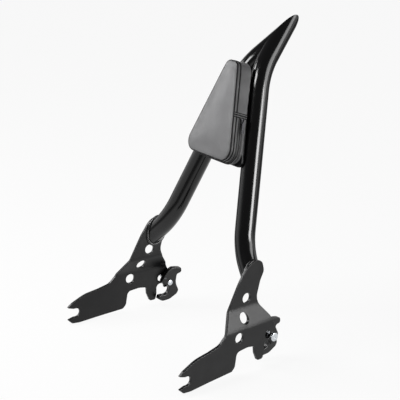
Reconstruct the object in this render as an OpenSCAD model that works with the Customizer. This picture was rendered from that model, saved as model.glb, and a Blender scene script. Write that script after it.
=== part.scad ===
// Detachable sissy bar for a motorbike: two round uprights that meet in a spear point,
// a small zipped backrest pad between them, and a joggled side plate on each side.
// Each plate has an open fork slot for a front docking post and a latched seat for a
// rear one. Millimetres. +Z is up, the front of the bike is towards -Y and the rider's
// left is +X. The origin is midway between the two front docking slots.

/* [Uprights] */
// Outside diameter of the upright tube
tube_d = 31.75; // [28:0.25:35]
// Wall of the upright tube
tube_wall = 2.5; // [1.6:0.1:4]
// Centreline radius of both bends in each tube
tube_bend_r = 120; // [90:1:135]
// Lower bend corner: distance inboard of the plate's inner face at the front slot
low_in = 58.5; // [54:0.5:64]
// Lower bend corner: distance behind the front docking slots
low_y = 150; // [140:1:160]
// Lower bend corner: height above the front docking slots
low_z = 152.4; // [145:1:160]
// Upper bend corner: distance from the middle plane
high_x = 17.8; // [16:0.2:24]
// Upper bend corner: distance behind the front docking slots
high_y = 239.6; // [230:1:250]
// Upper bend corner: height above the front docking slots
high_z = 400.5; // [380:1:420]
// Angle of the spear above the horizontal, seen from the side
spear_rise = 40.2; // [25:1:60]
// Angle at which each spear half runs in towards the other
spear_toe = 16.6; // [12:0.5:22]
// Angle at which the foot of each tube splays out, seen from the front
foot_splay = 44.6; // [38:0.5:50]
// Angle at which the foot of each tube runs forward, seen from the side
foot_rake = 15.1; // [10:1:20]
// Size of the weld bead round the foot of each tube
foot_weld = 3; // [2:0.5:4]

/* [Side plates] */
// Thickness of the side plate
plate_t = 5; // [4:0.5:6]
// Inner face of the plate at the front slot, from the middle plane
dock_half = 153.8; // [140:1:170]
// Angle at which each plate runs in towards the rear
plate_toe = 4.5; // [3:0.5:6]
// Sideways step of the joggle, lower part outboard of the upper
joggle = 16.1; // [12:0.5:20]
// Height of the lower bend line
joggle_low = 50.5; // [49:0.5:52]
// Height of the upper bend line
joggle_high = 76.5; // [74:0.5:78]
// Middle radius of both joggle bends
joggle_r = 7; // [5:0.5:9]
// Diameter of the three lightening holes
hole_d = 16; // [10:0.5:18]
// Diameter of the front post groove that the fork slot takes
front_post_d = 15; // [12:0.5:16]
// Diameter of the rear post groove that the notch takes
rear_post_d = 15; // [12:0.5:16]

/* [Latches] */
// Thickness of the latch lever
lever_t = 9; // [6:0.5:11]
// Diameter of the latch pivot's shank
pivot_d = 8; // [6:0.5:9]
// Diameter of the pivot's round outer head
pivot_head_d = 13.7; // [11:0.1:15]
// Height of the pivot's outer head
pivot_head_h = 3.4; // [2:0.2:5]
// Running clearance of the lever on its pivot, on the radius
pivot_fit = 0.05; // [0.02:0.01:0.08]
// Gap between the lever and the plate, kept by the spacer
lever_gap = 3; // [2.8:0.1:4]
// Wire diameter of the latch spring
spring_wire = 1.3; // [1:0.1:1.4]
// Mean radius of the latch spring's coils
spring_r = 6.1; // [6:0.1:6.6]
// Outside diameter of the spacer on the pivot
spacer_d = 10.4; // [10:0.1:10.6]
// Diameter of the stop pin
stop_d = 4; // [3:0.5:4.5]
// Diameter of the round window in the plate in which the stop pin moves
window_d = 12; // [11:0.5:12.5]
// Distance of the stop pin from the pivot
stop_r = 12.6; // [12:0.1:13]

/* [Pad] */
// Height of the pad's front panel
pad_h = 149; // [130:1:165]
// Height of the pad's lower edge along the uprights, from the lower bend corner
pad_low = 119; // [110:1:125]
// How far the pad's lower corners lie inside the tube axes
pad_low_in = 1.8; // [0:0.2:6]
// How far the pad's top corners lie inside the tube axes
pad_top_in = 5.9; // [3:0.2:7]
// Radius of the pad's lower corners
pad_r = 17; // [12:1:22]
// Radius of the pad's top corners
pad_top_r = 11; // [8:0.5:12]
// Depth of the pad from its back to the piping
pad_depth = 24; // [20:0.5:32]
// How much wider the pad is at the back than at the piping, each side
pad_flare = 4; // [1:0.5:5]
// Height of the crown of the front panel over the piping
pad_crown = 5; // [3:0.5:8]
// Thickness of the leather cover
cover_t = 1.4; // [1:0.1:2]
// Thickness of the board inside the pad
board_t = 6; // [4:0.5:9]
// Thickness of the steel pad plate on the uprights
pad_plate_t = 4.5; // [3:0.5:6]
// How far the pad plate shows below the pad
pad_plate_drop = 4; // [2:0.5:6]
// Size of the beads between the tubes and the pad plate
pad_weld = 2.5; // [1.5:0.1:3]
// Length of each of those beads
pad_weld_len = 30; // [20:1:40]
// Distance of the upper beads below the pad's top edge
pad_weld_top = 50; // [40:1:55]
// Diameter of the piping cord
piping_d = 3.2; // [2.4:0.1:4]
// Width of the zip's row of teeth
zip_w = 4.5; // [3:0.5:6]
// Height above the pad's lower edge at which the zip ends on each side
zip_end = 70; // [60:1:90]
// Distance of the zip's middle in front of the pad's back
zip_back = 9; // [8:0.5:12]
// Thread diameter of the pad screws
screw_d = 6; // [5:0.5:6]
// Height of the lower pad screw above the pad's lower edge
screw_low = 36; // [30:1:45]
// Distance between the two pad screws
screw_gap = 60; // [50:1:68]

/* [Hidden] */

$fn = 64;
far = 600;
tube_r = tube_d / 2;

low_x = dock_half - low_in;

// Unit vector, and a point list with each corner rounded to its own radius
function unit(v) = v / norm(v);
function turned(p, a) = [p.x * cos(a) - p.y * sin(a), p.x * sin(a) + p.y * cos(a)];
function corner(a, b, c, r, n) =
    let (u = unit(a - b), w = unit(c - b), half = acos(u * w) / 2,
        reach = min(r / tan(half), 0.49 * norm(a - b), 0.49 * norm(c - b)),
        rr = reach * tan(half), o = b + unit(u + w) * rr / sin(half),
        p = b + u * reach - o, q = b + w * reach - o,
        turn = atan2(p.x * q.y - p.y * q.x, p * q))
    r <= 0 ? [b] : [for (i = [0 : n]) o + turned(p, turn * i / n)];
function rounded(pts, n = 6) =
    [for (i = [0 : len(pts) - 1])
        let (m = len(pts), a = pts[(i + m - 1) % m], b = pts[i], c = pts[(i + 1) % m])
        each corner([a[0], a[1]], [b[0], b[1]], [c[0], c[1]], b[2], n)];

// Upright centreline: foot, main and spear directions, all on the left side
low_corner = [low_x, low_y, low_z];
high_corner = [high_x, high_y, high_z];
main_dir = unit(high_corner - low_corner);
foot_dir = unit([tan(foot_splay), -tan(foot_rake), -1]);
spear_dir = [-sin(spear_toe), cos(spear_toe) * cos(spear_rise), cos(spear_toe) * sin(spear_rise)];
spear_len = (high_x + tube_r + tube_wall) / sin(spear_toe);
foot_len = (low_in + tube_r) / foot_dir.x;

// Side plate outline in its own plane: distance behind the front slot, height, radius
prong_tip = -14;
slot_flare = 3;
slot_r = front_post_d / 2;
seat_r = rear_post_d / 2;
seat = [158.5, 11];
pivot = [170.5, 21.5];
plate_outline = [
    [prong_tip, slot_r + slot_flare, 0.6], [-11.5, 12.6, 1], [-6.8, 16.3, 3], [17, 27.6, 60],
    [42, 31.9, 60], [62.5, 37, 18], [74, 47.5, 10], [93.3, 76, 4], [115.5, 116.6, 90],
    [130.5, 138, 22], [147, 146.2, 12], [160.5, 142.8, 11], [164.6, 126, 12], [157, 112, 26],
    [149.5, 87, 22], [155, 73, 10], [166, 58, 4], [175, 36.8, 22], [181, 24, 9], [178, 10.5, 8],
    [seat.x + seat_r, 10, 2], [seat.x + seat_r, seat.y, 0], [seat.x - seat_r, seat.y, 0],
    [seat.x - seat_r, 2, 6], [148.6, -8.4, 4], [138, -8.4, 3.5], [132.6, 5, 8], [131.8, 16.6, 4],
    [118, 18.9, 30], [96.5, 16.5, 8], [92.6, -6, 10], [86.5, -11.9, 4], [42, -15.2, 60],
    [6, -18.4, 20], [-7, -17.4, 4], [prong_tip - 0.4, -slot_r - slot_flare, 1], [-4, -slot_r, 3],
    [0, -slot_r, 0], [0, slot_r, 0], [-4, slot_r, 3]];
holes = [[101.4, 38.4], [129.6, 90.2]];
band_hole = [117.8, 63.5];
joggle_a = atan(joggle / (joggle_high - joggle_low));

// Latch lever outline, drawn about its pivot with the pose of the right-hand latch
hook_r = seat_r + 1.6;
hook = [159.5, 10.5] - pivot;
lever_outline = [
    [-15.4, 5.5, 3], [-10, 14, 8], [-2.5, 22, 6], [5, 25.6, 6], [13, 24.8, 8], [22.3, 22.6, 3.5],
    [22.6, 14.5, 4], [13.6, 12.6, 4], [11.4, 0, 14], [12.4, -6, 8], [16.6, -16.5, 5],
    [13, -22.5, 8], [-1, -29.7, 14], [-14.5, -30.6, 8], [-23.2, -25, 1.6], [-20.7, -19.5, 1],
    [hook.x - 4, hook.y - hook_r + 0.3, 2], [hook.x, hook.y, 0], [-9, -2.5, 2], [-13.2, 0.4, 2]];
window_a = 150;
stop_travel = 2 * asin((window_d - stop_d - 0.2) / 2 / (2 * stop_r));
stop_closed = window_a - stop_travel;
lever_in = -lever_gap;

// Pad outline on the plane of the uprights: half width, height above the pad's lower edge
rake = atan((high_y - low_y) / (high_z - low_z));
tube_run = norm([high_y - low_y, high_z - low_z]);
tube_lean = atan((low_x - high_x) / tube_run);
function tube_x(h) = low_x - (low_x - high_x) * (pad_low + h) / tube_run;
pad_half = tube_x(0) - pad_low_in;
pad_top_half = tube_x(pad_h) - pad_top_in;
pad_back = tube_r + pad_plate_t;
soft_gap = 0.2;
pad_edge = [[-pad_half, 0, pad_r], [pad_half, 0, pad_r],
    [pad_top_half, pad_h, pad_top_r], [-pad_top_half, pad_h, pad_top_r]];
screw_at = [screw_low, screw_low + screw_gap];
weld_at = [pad_weld_len / 2, pad_h - pad_weld_top - pad_weld_len / 2];
weld_gap = 0.02;
nut_flange_t = 1.2;
screw_head_h = 4;

// Moves a piece drawn for the left side to the left or right
module side(s) {
    mirror([s < 0 ? 1 : 0, 0, 0]) children();
}

// Plate frame: x is behind the slot, y is up, z is outboard of the plate's inner face
module on_plate() {
    translate([dock_half, 0, 0]) rotate([0, 0, plate_toe]) rotate([90, 0, 90]) children();
}

// Pad frame: x is left, y runs up the uprights from the pad's lower edge, z is forward
// of the plane that holds both tube axes
module on_pad() {
    translate([0, low_y, low_z]) rotate([90 - rake, 0, 0])
        translate([0, pad_low, 0]) children();
}

// Stations round one bend: a point of the centreline and its direction
function bend(at, d1, d2) =
    let (turn = acos(d1 * d2), start = at - d1 * tube_bend_r * tan(turn / 2),
        n1 = unit(d2 - d1 * (d1 * d2)))
    [for (i = [0 : bend_steps]) let (t = turn * i / bend_steps)
        [start + tube_bend_r * (sin(t) * d1 + (1 - cos(t)) * n1), cos(t) * d1 + sin(t) * n1]];
bend_steps = 9;
sides = 36;
stations = concat([[low_corner + foot_dir * foot_len, -foot_dir]],
    bend(low_corner, -foot_dir, main_dir), bend(high_corner, main_dir, spear_dir),
    [[high_corner + spear_dir * spear_len, spear_dir]]);
function ring(st, r, ref, n) =
    let (ex = unit(cross(st[1], ref)), ey = cross(st[1], ex))
    [for (k = [0 : n - 1]) st[0] + r * (cos(360 * k / n) * ex + sin(360 * k / n) * ey)];
function skin(from, m, n, out) =
    [for (i = [0 : m - 2], k = [0 : n - 1]) let (a = from + i * n, j = (k + 1) % n)
        out ? [a + k, a + n + k, a + n + j, a + j] : [a + k, a + j, a + n + j, a + n + k]];

// One hollow upright swept from foot to spear, before its ends are cut
module upright_tube() {
    m = len(stations);
    pts = concat([for (st = stations) each ring(st, tube_r, [1, 0, 0], sides)],
        [for (st = stations) each ring(st, tube_r - tube_wall, [1, 0, 0], sides)]);
    in = m * sides;
    last = in - sides;
    caps = [for (k = [0 : sides - 1]) let (j = (k + 1) % sides) [k, j, in + j, in + k]];
    ends = [for (k = [0 : sides - 1]) let (j = (k + 1) % sides)
        [last + k, in + last + k, in + last + j, last + j]];
    polyhedron(pts, concat(skin(0, m, sides, true), skin(in, m, sides, false), caps, ends),
        convexity = 6);
}

// A round wire swept along its stations
module wire(st, r, ref) {
    n = 10;
    m = len(st);
    polyhedron([for (q = st) each ring(q, r, ref, n)], concat(skin(0, m, n, true),
        [[for (k = [0 : n - 1]) k]], [[for (k = [0 : n - 1]) m * n - 1 - k]]), convexity = 6);
}

// Everything inboard of the inner face of the plate's upper part, on the left half
module inside_left() {
    intersection() {
        translate([0, -far, -far]) cube([far, 2 * far, 2 * far]);
        on_plate() translate([-far, -far, -joggle - 2 * far]) cube([2 * far, 2 * far, 2 * far]);
    }
}

// Bent tube, its foot cut flush to the plate and its spear mitred on the middle plane
module upright() {
    color("black") intersection() {
        upright_tube();
        inside_left();
    }
}

// Solid that follows the foot and the lower bend at a given radius
module foot_core(r) {
    st = [for (i = [0 : bend_steps + 1]) stations[i]];
    m = len(st);
    polyhedron([for (q = st) each ring(q, r, [1, 0, 0], sides)],
        concat(skin(0, m, sides, true), [[for (k = [0 : sides - 1]) k]],
            [[for (k = [0 : sides - 1]) m * sides - 1 - k]]), convexity = 6);
}

// Bead of weld round the foot, against the plate's inner face
module foot_weld_bead() {
    color("dimgray") intersection() {
        difference() {
            foot_core(tube_r + foot_weld);
            foot_core(tube_r);
        }
        on_plate() translate([-far, -far, -joggle - foot_weld])
            cube([2 * far, 2 * far, foot_weld]);
    }
}

// Section of the joggled sheet: x is outboard, y is up, with round bends
module joggle_section() {
    back = joggle_r * tan(joggle_a / 2);
    mid = plate_t / 2;
    low_c = [mid - joggle_r, joggle_low - back];
    high_c = [mid - joggle + joggle_r, joggle_high + back];
    steps = [for (i = [0 : 8]) joggle_a * i / 8];
    polygon(concat([[0, -far / 2], [plate_t, -far / 2]],
        [for (t = steps) low_c + (joggle_r + mid) * [cos(t), sin(t)]],
        [for (t = steps) high_c - (joggle_r - mid) * [cos(joggle_a - t), sin(joggle_a - t)]],
        [[plate_t - joggle, far / 2], [-joggle, far / 2]],
        [for (t = steps) high_c - (joggle_r + mid) * [cos(t), sin(t)]],
        [for (t = steps) low_c + (joggle_r - mid) * [cos(joggle_a - t), sin(joggle_a - t)]]));
}

// Joggled, laser-cut plate with its slot, seat, holes and arched cut-out
module side_plate() {
    reach = joggle + plate_t;
    color("black") on_plate() difference() {
        intersection() {
            translate([0, 0, -joggle - 1]) linear_extrude(reach + 2) polygon(rounded(plate_outline));
            translate([-far / 2, 0, 0]) rotate([0, 90, 0]) mirror([1, 0, 0]) linear_extrude(far)
                joggle_section();
        }
        translate([0, 0, -1]) cylinder(h = plate_t + 2, r = slot_r);
        translate([seat.x, seat.y, -1]) cylinder(h = plate_t + 2, r = seat_r);
        translate([pivot.x, pivot.y, -1]) cylinder(h = plate_t + 2, r = pivot_d / 2);
        translate([pivot.x + stop_r * cos(window_a), pivot.y + stop_r * sin(window_a), -1])
            cylinder(h = plate_t + 2, d = window_d);
        for (h = holes) translate([h.x, h.y, -joggle - 1]) cylinder(h = reach + 2, r = hole_d / 2);
        translate([band_hole.x, band_hole.y, plate_t / 2 - joggle / 2]) rotate([joggle_a, 0, 0])
            translate([0, 0, -2 * plate_t]) cylinder(h = 4 * plate_t, r = hole_d / 2);
    }
}

// Places a latch piece that is drawn about the pivot, in its closed pose
module at_pivot() {
    on_plate() translate([pivot.x, pivot.y, 0]) children();
}

// Hooked lever that closes the rear seat from below, with a thumb nose at its top
module latch_lever() {
    color("black") translate([0, 0, lever_in - lever_t]) linear_extrude(lever_t) difference() {
        polygon(rounded(lever_outline));
        translate(hook) circle(r = hook_r);
        circle(r = pivot_d / 2 + pivot_fit);
        translate(stop_r * [cos(stop_closed), sin(stop_closed)]) circle(d = stop_d);
    }
}

// Shouldered rivet with a round outer head and a closed inner end
module latch_pivot() {
    cap = 0.6;
    color("silver") on_plate() translate([pivot.x, pivot.y, 0]) {
        translate([0, 0, plate_t]) cylinder(h = pivot_head_h - cap, d = pivot_head_d);
        translate([0, 0, plate_t + pivot_head_h - cap])
            cylinder(h = cap, d1 = pivot_head_d, d2 = pivot_head_d - 2 * cap);
        translate([0, 0, lever_in - lever_t - 0.2]) cylinder(h = plate_t + lever_t - lever_in + 0.2,
            d = pivot_d);
        translate([0, 0, lever_in - lever_t - 1.2]) cylinder(h = 1, d1 = pivot_d - 0.6,
            d2 = pivot_d + 1.2);
    }
}

// Spacer that keeps the lever off the plate and centres the spring
module latch_spacer() {
    color("dimgray") on_plate() translate([pivot.x, pivot.y, -lever_gap]) difference() {
        cylinder(h = lever_gap, d = spacer_d);
        translate([0, 0, -1]) cylinder(h = lever_gap + 2, d = pivot_d);
    }
}

// Torsion spring of two coils, with one leg hooked into the plate's window
module latch_spring() {
    r = spring_wire / 2;
    pitch = spring_wire + 0.12;
    low = -lever_gap + r + 0.02;
    hook_at = [stop_r * cos(window_a) + (window_d / 2 - r - 0.1) * cos(-4),
        stop_r * sin(window_a) + (window_d / 2 - r - 0.1) * sin(-4)];
    away = atan2(hook_at.y, hook_at.x) - acos(spring_r / norm(hook_at));
    leg = unit(hook_at - spring_r * [cos(away), sin(away)]);
    top = low + pitch;
    coil = [for (i = [0 : 24]) let (t = away - 360 + 15 * i)
        [[spring_r * cos(t), spring_r * sin(t), low + pitch * i / 24], [-sin(t), cos(t), 0]]];
    end = [[hook_at.x - 1.2 * leg.x, hook_at.y - 1.2 * leg.y, top], [leg.x, leg.y, 0]];
    color("silver") wire(concat(coil, [end,
        [[hook_at.x - 0.35 * leg.x, hook_at.y - 0.35 * leg.y, top + 0.35], unit([leg.x, leg.y, 1])],
        [[hook_at.x, hook_at.y, top + 1.2], [0, 0, 1]], [[hook_at.x, hook_at.y, 2.5], [0, 0, 1]]]),
        r, [-0.3 * leg.x, -0.3 * leg.y, 1]);
}

// Pin pressed into the lever, which moves in the plate's round window
module stop_pin() {
    a = stop_closed;
    color("silver") translate([stop_r * cos(a), stop_r * sin(a), lever_in - lever_t])
        cylinder(h = lever_t - lever_in + plate_t - 0.5, d = stop_d);
}

// Pad outline grown by g on every side
module pad_shape(g = 0) {
    grow = [[-g, -g], [g, -g], [g, g], [-g, g]];
    polygon(rounded([for (i = [0 : 3]) [pad_edge[i][0] + grow[i][0],
        pad_edge[i][1] + grow[i][1], max(1, pad_edge[i][2] + g)]], 8));
}

// Tapered body of the pad, with its front crowned, shrunk by t on every side
module pad_body(t, from) {
    thin = 0.2;
    hull() {
        translate([0, 0, from]) linear_extrude(thin) pad_shape(pad_flare - t);
        translate([0, 0, pad_back + pad_depth - thin - t / 2]) linear_extrude(thin) pad_shape(-t);
        translate([0, 0, pad_back + pad_depth + 0.6 * pad_crown - t]) linear_extrude(thin)
            pad_shape(-8 - t);
        translate([0, 0, pad_back + pad_depth + pad_crown - thin - t]) linear_extrude(thin)
            pad_shape(-18 - t);
    }
}

// Steel plate welded on the front of both tubes, which carries the pad
module pad_plate() {
    color("black") on_pad() translate([0, 0, tube_r]) difference() {
        linear_extrude(pad_plate_t) polygon(rounded([
            [-pad_half - 3, -pad_plate_drop, 8], [pad_half + 3, -pad_plate_drop, 8],
            [pad_top_half + 2, pad_h - 4, 8], [-pad_top_half - 2, pad_h - 4, 8]]));
        for (h = screw_at) translate([0, h, -1]) cylinder(h = pad_plate_t + 2, d = screw_d + 0.6);
    }
}

// Four short beads that fill the groove between each tube and the pad plate
module pad_plate_welds() {
    bead = pad_weld;
    reach = sqrt(tube_r * tube_r - (tube_r - bead) * (tube_r - bead));
    color("dimgray") for (s = [-1, 1], h = weld_at) side(s)
        on_pad() translate([tube_x(h), h, 0]) rotate([0, 0, tube_lean])
            translate([0, pad_weld_len / 2, 0]) rotate([90, 0, 0])
                linear_extrude(pad_weld_len) difference() {
                    translate([-reach, tube_r - bead]) square([0.8 * reach, bead]);
                    circle(r = tube_r / cos(180 / $fn) + weld_gap);
                }
}

// Board inside the cover, which the tee nuts grip
module pad_board() {
    grow = pad_flare * (1 - (cover_t + board_t) / pad_depth) - cover_t - soft_gap;
    color("saddlebrown") on_pad() difference() {
        translate([0, 0, pad_back + cover_t]) linear_extrude(board_t) pad_shape(grow);
        for (h = screw_at) translate([0, h, pad_back]) cylinder(h = 2 * board_t, d = screw_d + 2);
    }
}

// Foam block in front of the board
module pad_foam() {
    color("khaki") on_pad() intersection() {
        pad_body(cover_t + 0.3, pad_back + cover_t);
        translate([-far / 2, -far / 2, pad_back + cover_t + board_t + nut_flange_t])
            cube([far, far, far]);
    }
}

// Leather cover: front panel, gusset and back panel in one closed shell
module pad_cover() {
    color("dimgray") on_pad() difference() {
        pad_body(0, pad_back);
        pad_body(cover_t, pad_back + cover_t);
        for (h = screw_at) translate([0, h, pad_back - 1]) cylinder(h = 4, d = screw_d + 1);
    }
}

// Ring of a given section round the pad: grown by g1 to g2, from z1 to z2
module pad_ring(g1, g2, z1, z2) {
    translate([0, 0, z1]) linear_extrude(z2 - z1) difference() {
        pad_shape(g2);
        pad_shape(g1);
    }
}

// Cord of piping sewn into the front edge
module pad_piping() {
    z = pad_back + pad_depth;
    inner = soft_gap + pad_flare * piping_d / 2 / pad_depth;
    color("black") on_pad()
        pad_ring(inner, inner + piping_d / 2, z - piping_d / 2, z + piping_d / 2);
}

// Part of a ring below the height at which the zip ends
module zip_run(g1, g2, z1, z2) {
    intersection() {
        pad_ring(g1, g2, z1, z2);
        translate([-far / 2, -far, z1 - 1]) cube([far, far + zip_end, z2 - z1 + 2]);
    }
}

zip_z = pad_back + zip_back;
zip_out = pad_flare * (1 - (zip_back - zip_w) / pad_depth) + soft_gap;

// Woven tape that carries the zip's teeth, sewn to the gusset
module pad_zip_tape() {
    color("black") on_pad() zip_run(zip_out, zip_out + 0.6, zip_z - zip_w, zip_z + zip_w);
}

// Row of coil teeth along the middle of the tape
module pad_zip_teeth() {
    color("dimgray") on_pad()
        zip_run(zip_out + 0.6, zip_out + 2, zip_z - zip_w / 2, zip_z + zip_w / 2);
}

// Place on the left gusset at the top end of the zip, x outwards and y up
module at_zip_end() {
    lean = atan((pad_half - pad_top_half) / pad_h);
    h = zip_end - 6;
    on_pad() translate([pad_half - (pad_half - pad_top_half) * h / pad_h, h, zip_z])
        rotate([0, 0, lean]) translate([zip_out / cos(lean), 0, 0]) children();
}

// Slider body, straddling the teeth
module pad_zip_slider() {
    color("dimgray") at_zip_end() difference() {
        translate([2.2, -5, -3.6]) cube([2.2, 10, 7.2]);
        translate([2.9, -1, -4]) cube([0.8, 2, 8]);
    }
}

// Pull tab hanging from the slider
module pad_zip_pull() {
    color("dimgray") at_zip_end() translate([4.6, 0, 0]) rotate([0, 90, 0]) linear_extrude(1)
        difference() {
            polygon(rounded([[-2.2, -18, 2], [2.2, -18, 2], [1.6, 1, 1], [-1.6, 1, 1]]));
            translate([0, -14]) circle(d = 2.2);
        }
}

// Tee nuts pressed into the board from its front
module pad_tee_nuts() {
    color("silver") on_pad() for (h = screw_at)
        translate([0, h, pad_back + cover_t]) difference() {
            union() {
                cylinder(h = board_t, d = screw_d + 2);
                translate([0, 0, board_t]) cylinder(h = nut_flange_t, d = 3 * screw_d);
            }
            translate([0, 0, -1]) cylinder(h = board_t + nut_flange_t + 2, d = screw_d);
        }
}

// Hexagon screws from behind, through the pad plate into the tee nuts
module pad_screws() {
    back = tube_r - 1.5;
    color("black") on_pad() for (h = screw_at) translate([0, h, back]) {
        translate([0, 0, -screw_head_h]) cylinder(h = screw_head_h, d = 1.85 * screw_d, $fn = 6);
        cylinder(h = pad_back + cover_t + board_t - back, d = screw_d);
    }
}

// Washers under the screw heads
module pad_screw_washers() {
    color("dimgray") on_pad() for (h = screw_at) translate([0, h, tube_r - 1.5]) difference() {
        cylinder(h = 1.5, d = 2.1 * screw_d);
        translate([0, 0, -1]) cylinder(h = 4, d = screw_d);
    }
}

side(1) side_plate();  // left_side_plate
side(-1) side_plate();  // right_side_plate
side(1) upright();  // left_upright
side(-1) upright();  // right_upright
side(1) foot_weld_bead();  // left_foot_weld
side(-1) foot_weld_bead();  // right_foot_weld
pad_plate();
pad_plate_welds();
side(1) at_pivot() latch_lever();  // left_latch_lever
side(-1) at_pivot() latch_lever();  // right_latch_lever
side(1) latch_pivot();  // left_latch_pivot
side(-1) latch_pivot();  // right_latch_pivot
side(1) latch_spacer();  // left_latch_spacer
side(-1) latch_spacer();  // right_latch_spacer
side(1) at_pivot() latch_spring();  // left_latch_spring
side(-1) at_pivot() latch_spring();  // right_latch_spring
side(1) at_pivot() stop_pin();  // left_stop_pin
side(-1) at_pivot() stop_pin();  // right_stop_pin
pad_board();
pad_foam();
pad_cover();
pad_piping();
pad_zip_tape();
pad_zip_teeth();
pad_zip_slider();
pad_zip_pull();
pad_tee_nuts();
pad_screws();
pad_screw_washers();
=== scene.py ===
"""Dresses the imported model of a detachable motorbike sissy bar.

Two bent tubes meet in a spear point over a zipped leather pad, and stand on joggled side
plates with latched docking seats. Sizes are in millimetres until a mesh is made.
"""

import logging
import math
from dataclasses import dataclass, field
from enum import Enum
from typing import Callable, Iterable, Sequence

import bmesh
import bpy
import numpy as np
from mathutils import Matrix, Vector
from mathutils.bvhtree import BVHTree
from mathutils.geometry import delaunay_2d_cdt


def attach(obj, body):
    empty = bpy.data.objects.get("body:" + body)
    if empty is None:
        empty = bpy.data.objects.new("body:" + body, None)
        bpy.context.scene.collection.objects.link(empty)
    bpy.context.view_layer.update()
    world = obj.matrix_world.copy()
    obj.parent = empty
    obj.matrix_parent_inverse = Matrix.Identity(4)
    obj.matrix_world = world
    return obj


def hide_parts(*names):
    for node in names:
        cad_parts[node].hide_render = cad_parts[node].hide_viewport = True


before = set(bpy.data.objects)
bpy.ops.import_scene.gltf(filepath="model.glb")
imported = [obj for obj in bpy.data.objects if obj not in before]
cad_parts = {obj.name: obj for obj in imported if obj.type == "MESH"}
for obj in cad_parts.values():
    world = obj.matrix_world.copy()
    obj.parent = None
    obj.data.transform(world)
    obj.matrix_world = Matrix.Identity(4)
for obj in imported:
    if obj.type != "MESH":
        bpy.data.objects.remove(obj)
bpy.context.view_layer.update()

LOG = logging.getLogger("sissy_bar")
Array = np.ndarray
# Points (n, 3) in millimetres and faces.
Mesh = tuple[Array, Sequence]

MM = 0.001
FULL_TURN = 2 * math.pi

# Half of a 1 1/4 in tube.
TUBE_R = 15.875
# Corners of the left tube's centreline: where it turns up under the pad, and into the spear.
LOW_BEND = (95.3, 150.0, 152.4)
HIGH_BEND = (17.8, 239.6, 400.5)
# A corner's arc takes less than half of each span beside it, so two arcs never meet.
ARC_SHARE = 0.49
# Points of an outline that are nearer than this are one.
SAME_POINT = 1e-5
# The same for the points of a mesh, in metres.
SAME_PLACE = 2e-6


class Side(Enum):
    """The two mirrored halves of the bar."""

    LEFT = 1
    RIGHT = -1

    @property
    def word(self) -> str:
        """Name used in node and piece names."""
        return self.name.lower()


# Shapes drawn with numpy


def unit(v: Array) -> Array:
    """Vectors of length one along the last axis."""
    v = np.asarray(v, float)
    return v / np.linalg.norm(v, axis=-1, keepdims=True)


def rounded(corners: Iterable[Sequence[float]], steps: int = 10) -> Array:
    """Closed outline whose corners are tangent arcs.

    Each corner b between neighbours a and d gets an arc about the point that lies on the
    corner's bisector, r / sin(half angle) from b.

    Args:
        corners: rows of x, y and corner radius.
        steps: spans in each arc.

    Returns:
        Points (n, 2) with doubles left out.
    """
    c = np.array(list(corners), float)
    b = c[:, :2]
    a, d = np.roll(b, 1, 0), np.roll(b, -1, 0)
    to_a, to_d = unit(a - b), unit(d - b)
    half = np.arccos(np.clip((to_a * to_d).sum(1), -1, 1)) / 2
    room = ARC_SHARE * np.minimum(np.linalg.norm(a - b, axis=1), np.linalg.norm(d - b, axis=1))
    reach = np.minimum(c[:, 2] / np.tan(half), room)
    middle = b + unit(to_a + to_d) * (reach * np.tan(half) / np.sin(half))[:, None]
    p, q = b + to_a * reach[:, None] - middle, b + to_d * reach[:, None] - middle
    turn = np.arctan2(p[:, 0] * q[:, 1] - p[:, 1] * q[:, 0], (p * q).sum(1))
    t = turn[:, None] * np.linspace(0, 1, steps + 1)
    x = p[:, :1] * np.cos(t) - p[:, 1:] * np.sin(t)
    y = p[:, :1] * np.sin(t) + p[:, 1:] * np.cos(t)
    points = (middle[:, None] + np.stack([x, y], -1)).reshape(-1, 2)
    return points[np.linalg.norm(points - np.roll(points, 1, 0), axis=1) > SAME_POINT]


def arc(centre: Sequence[float], r: float, start: float, end: float, n: int = 24) -> Array:
    """Rows of x, y, 0 along a circle from one angle to another, in degrees."""
    t = np.radians(np.linspace(start, end, n))
    return np.stack([centre[0] + r * np.cos(t), centre[1] + r * np.sin(t), 0 * t], -1)


def densify(loop: Array, spacing: float) -> Array:
    """The closed loop with points added so that no span is longer than the spacing.

    Args:
        loop: points (n, 2) or (n, 3).
        spacing: longest span wanted.

    Returns:
        The old points with new ones between them.
    """
    step = np.roll(loop, -1, 0) - loop
    count = np.maximum(1, np.ceil(np.linalg.norm(step, axis=1) / spacing)).astype(int)
    along = np.arange(count.sum()) - np.repeat(np.cumsum(count) - count, count)
    return np.repeat(loop, count, 0) + np.repeat(step / count[:, None], count, 0) * along[:, None]


def inset(loop: Array, by: float) -> Array:
    """The loop moved to its left by a distance, along the bisectors of its spans.

    Args:
        loop: points (n, 2), in order.
        by: distance.

    Returns:
        As many points, in the same order.
    """
    span = unit(np.roll(loop, -1, 0) - loop)
    left = np.stack([-span[:, 1], span[:, 0]], -1)
    before = np.roll(left, 1, 0)
    way = unit(left + before)
    return loop + way * (by / np.maximum(0.5, (way * left).sum(1)))[:, None]


def resample(path: Array, count: int, closed: bool = False) -> Array:
    """Points at even steps of length along a path of straight spans.

    Args:
        path: points (n, k).
        count: number of points wanted.
        closed: whether a last span leads back to the first point.

    Returns:
        Points (count, k).
    """
    p = np.vstack([path, path[:1]]) if closed else path
    length = np.r_[0, np.cumsum(np.linalg.norm(np.diff(p, axis=0), axis=1))]
    s = np.linspace(0, length[-1], count + 1)[:-1] if closed else np.linspace(0, length[-1], count)
    return np.stack([np.interp(s, length, p[:, k]) for k in range(p.shape[1])], -1)


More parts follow.
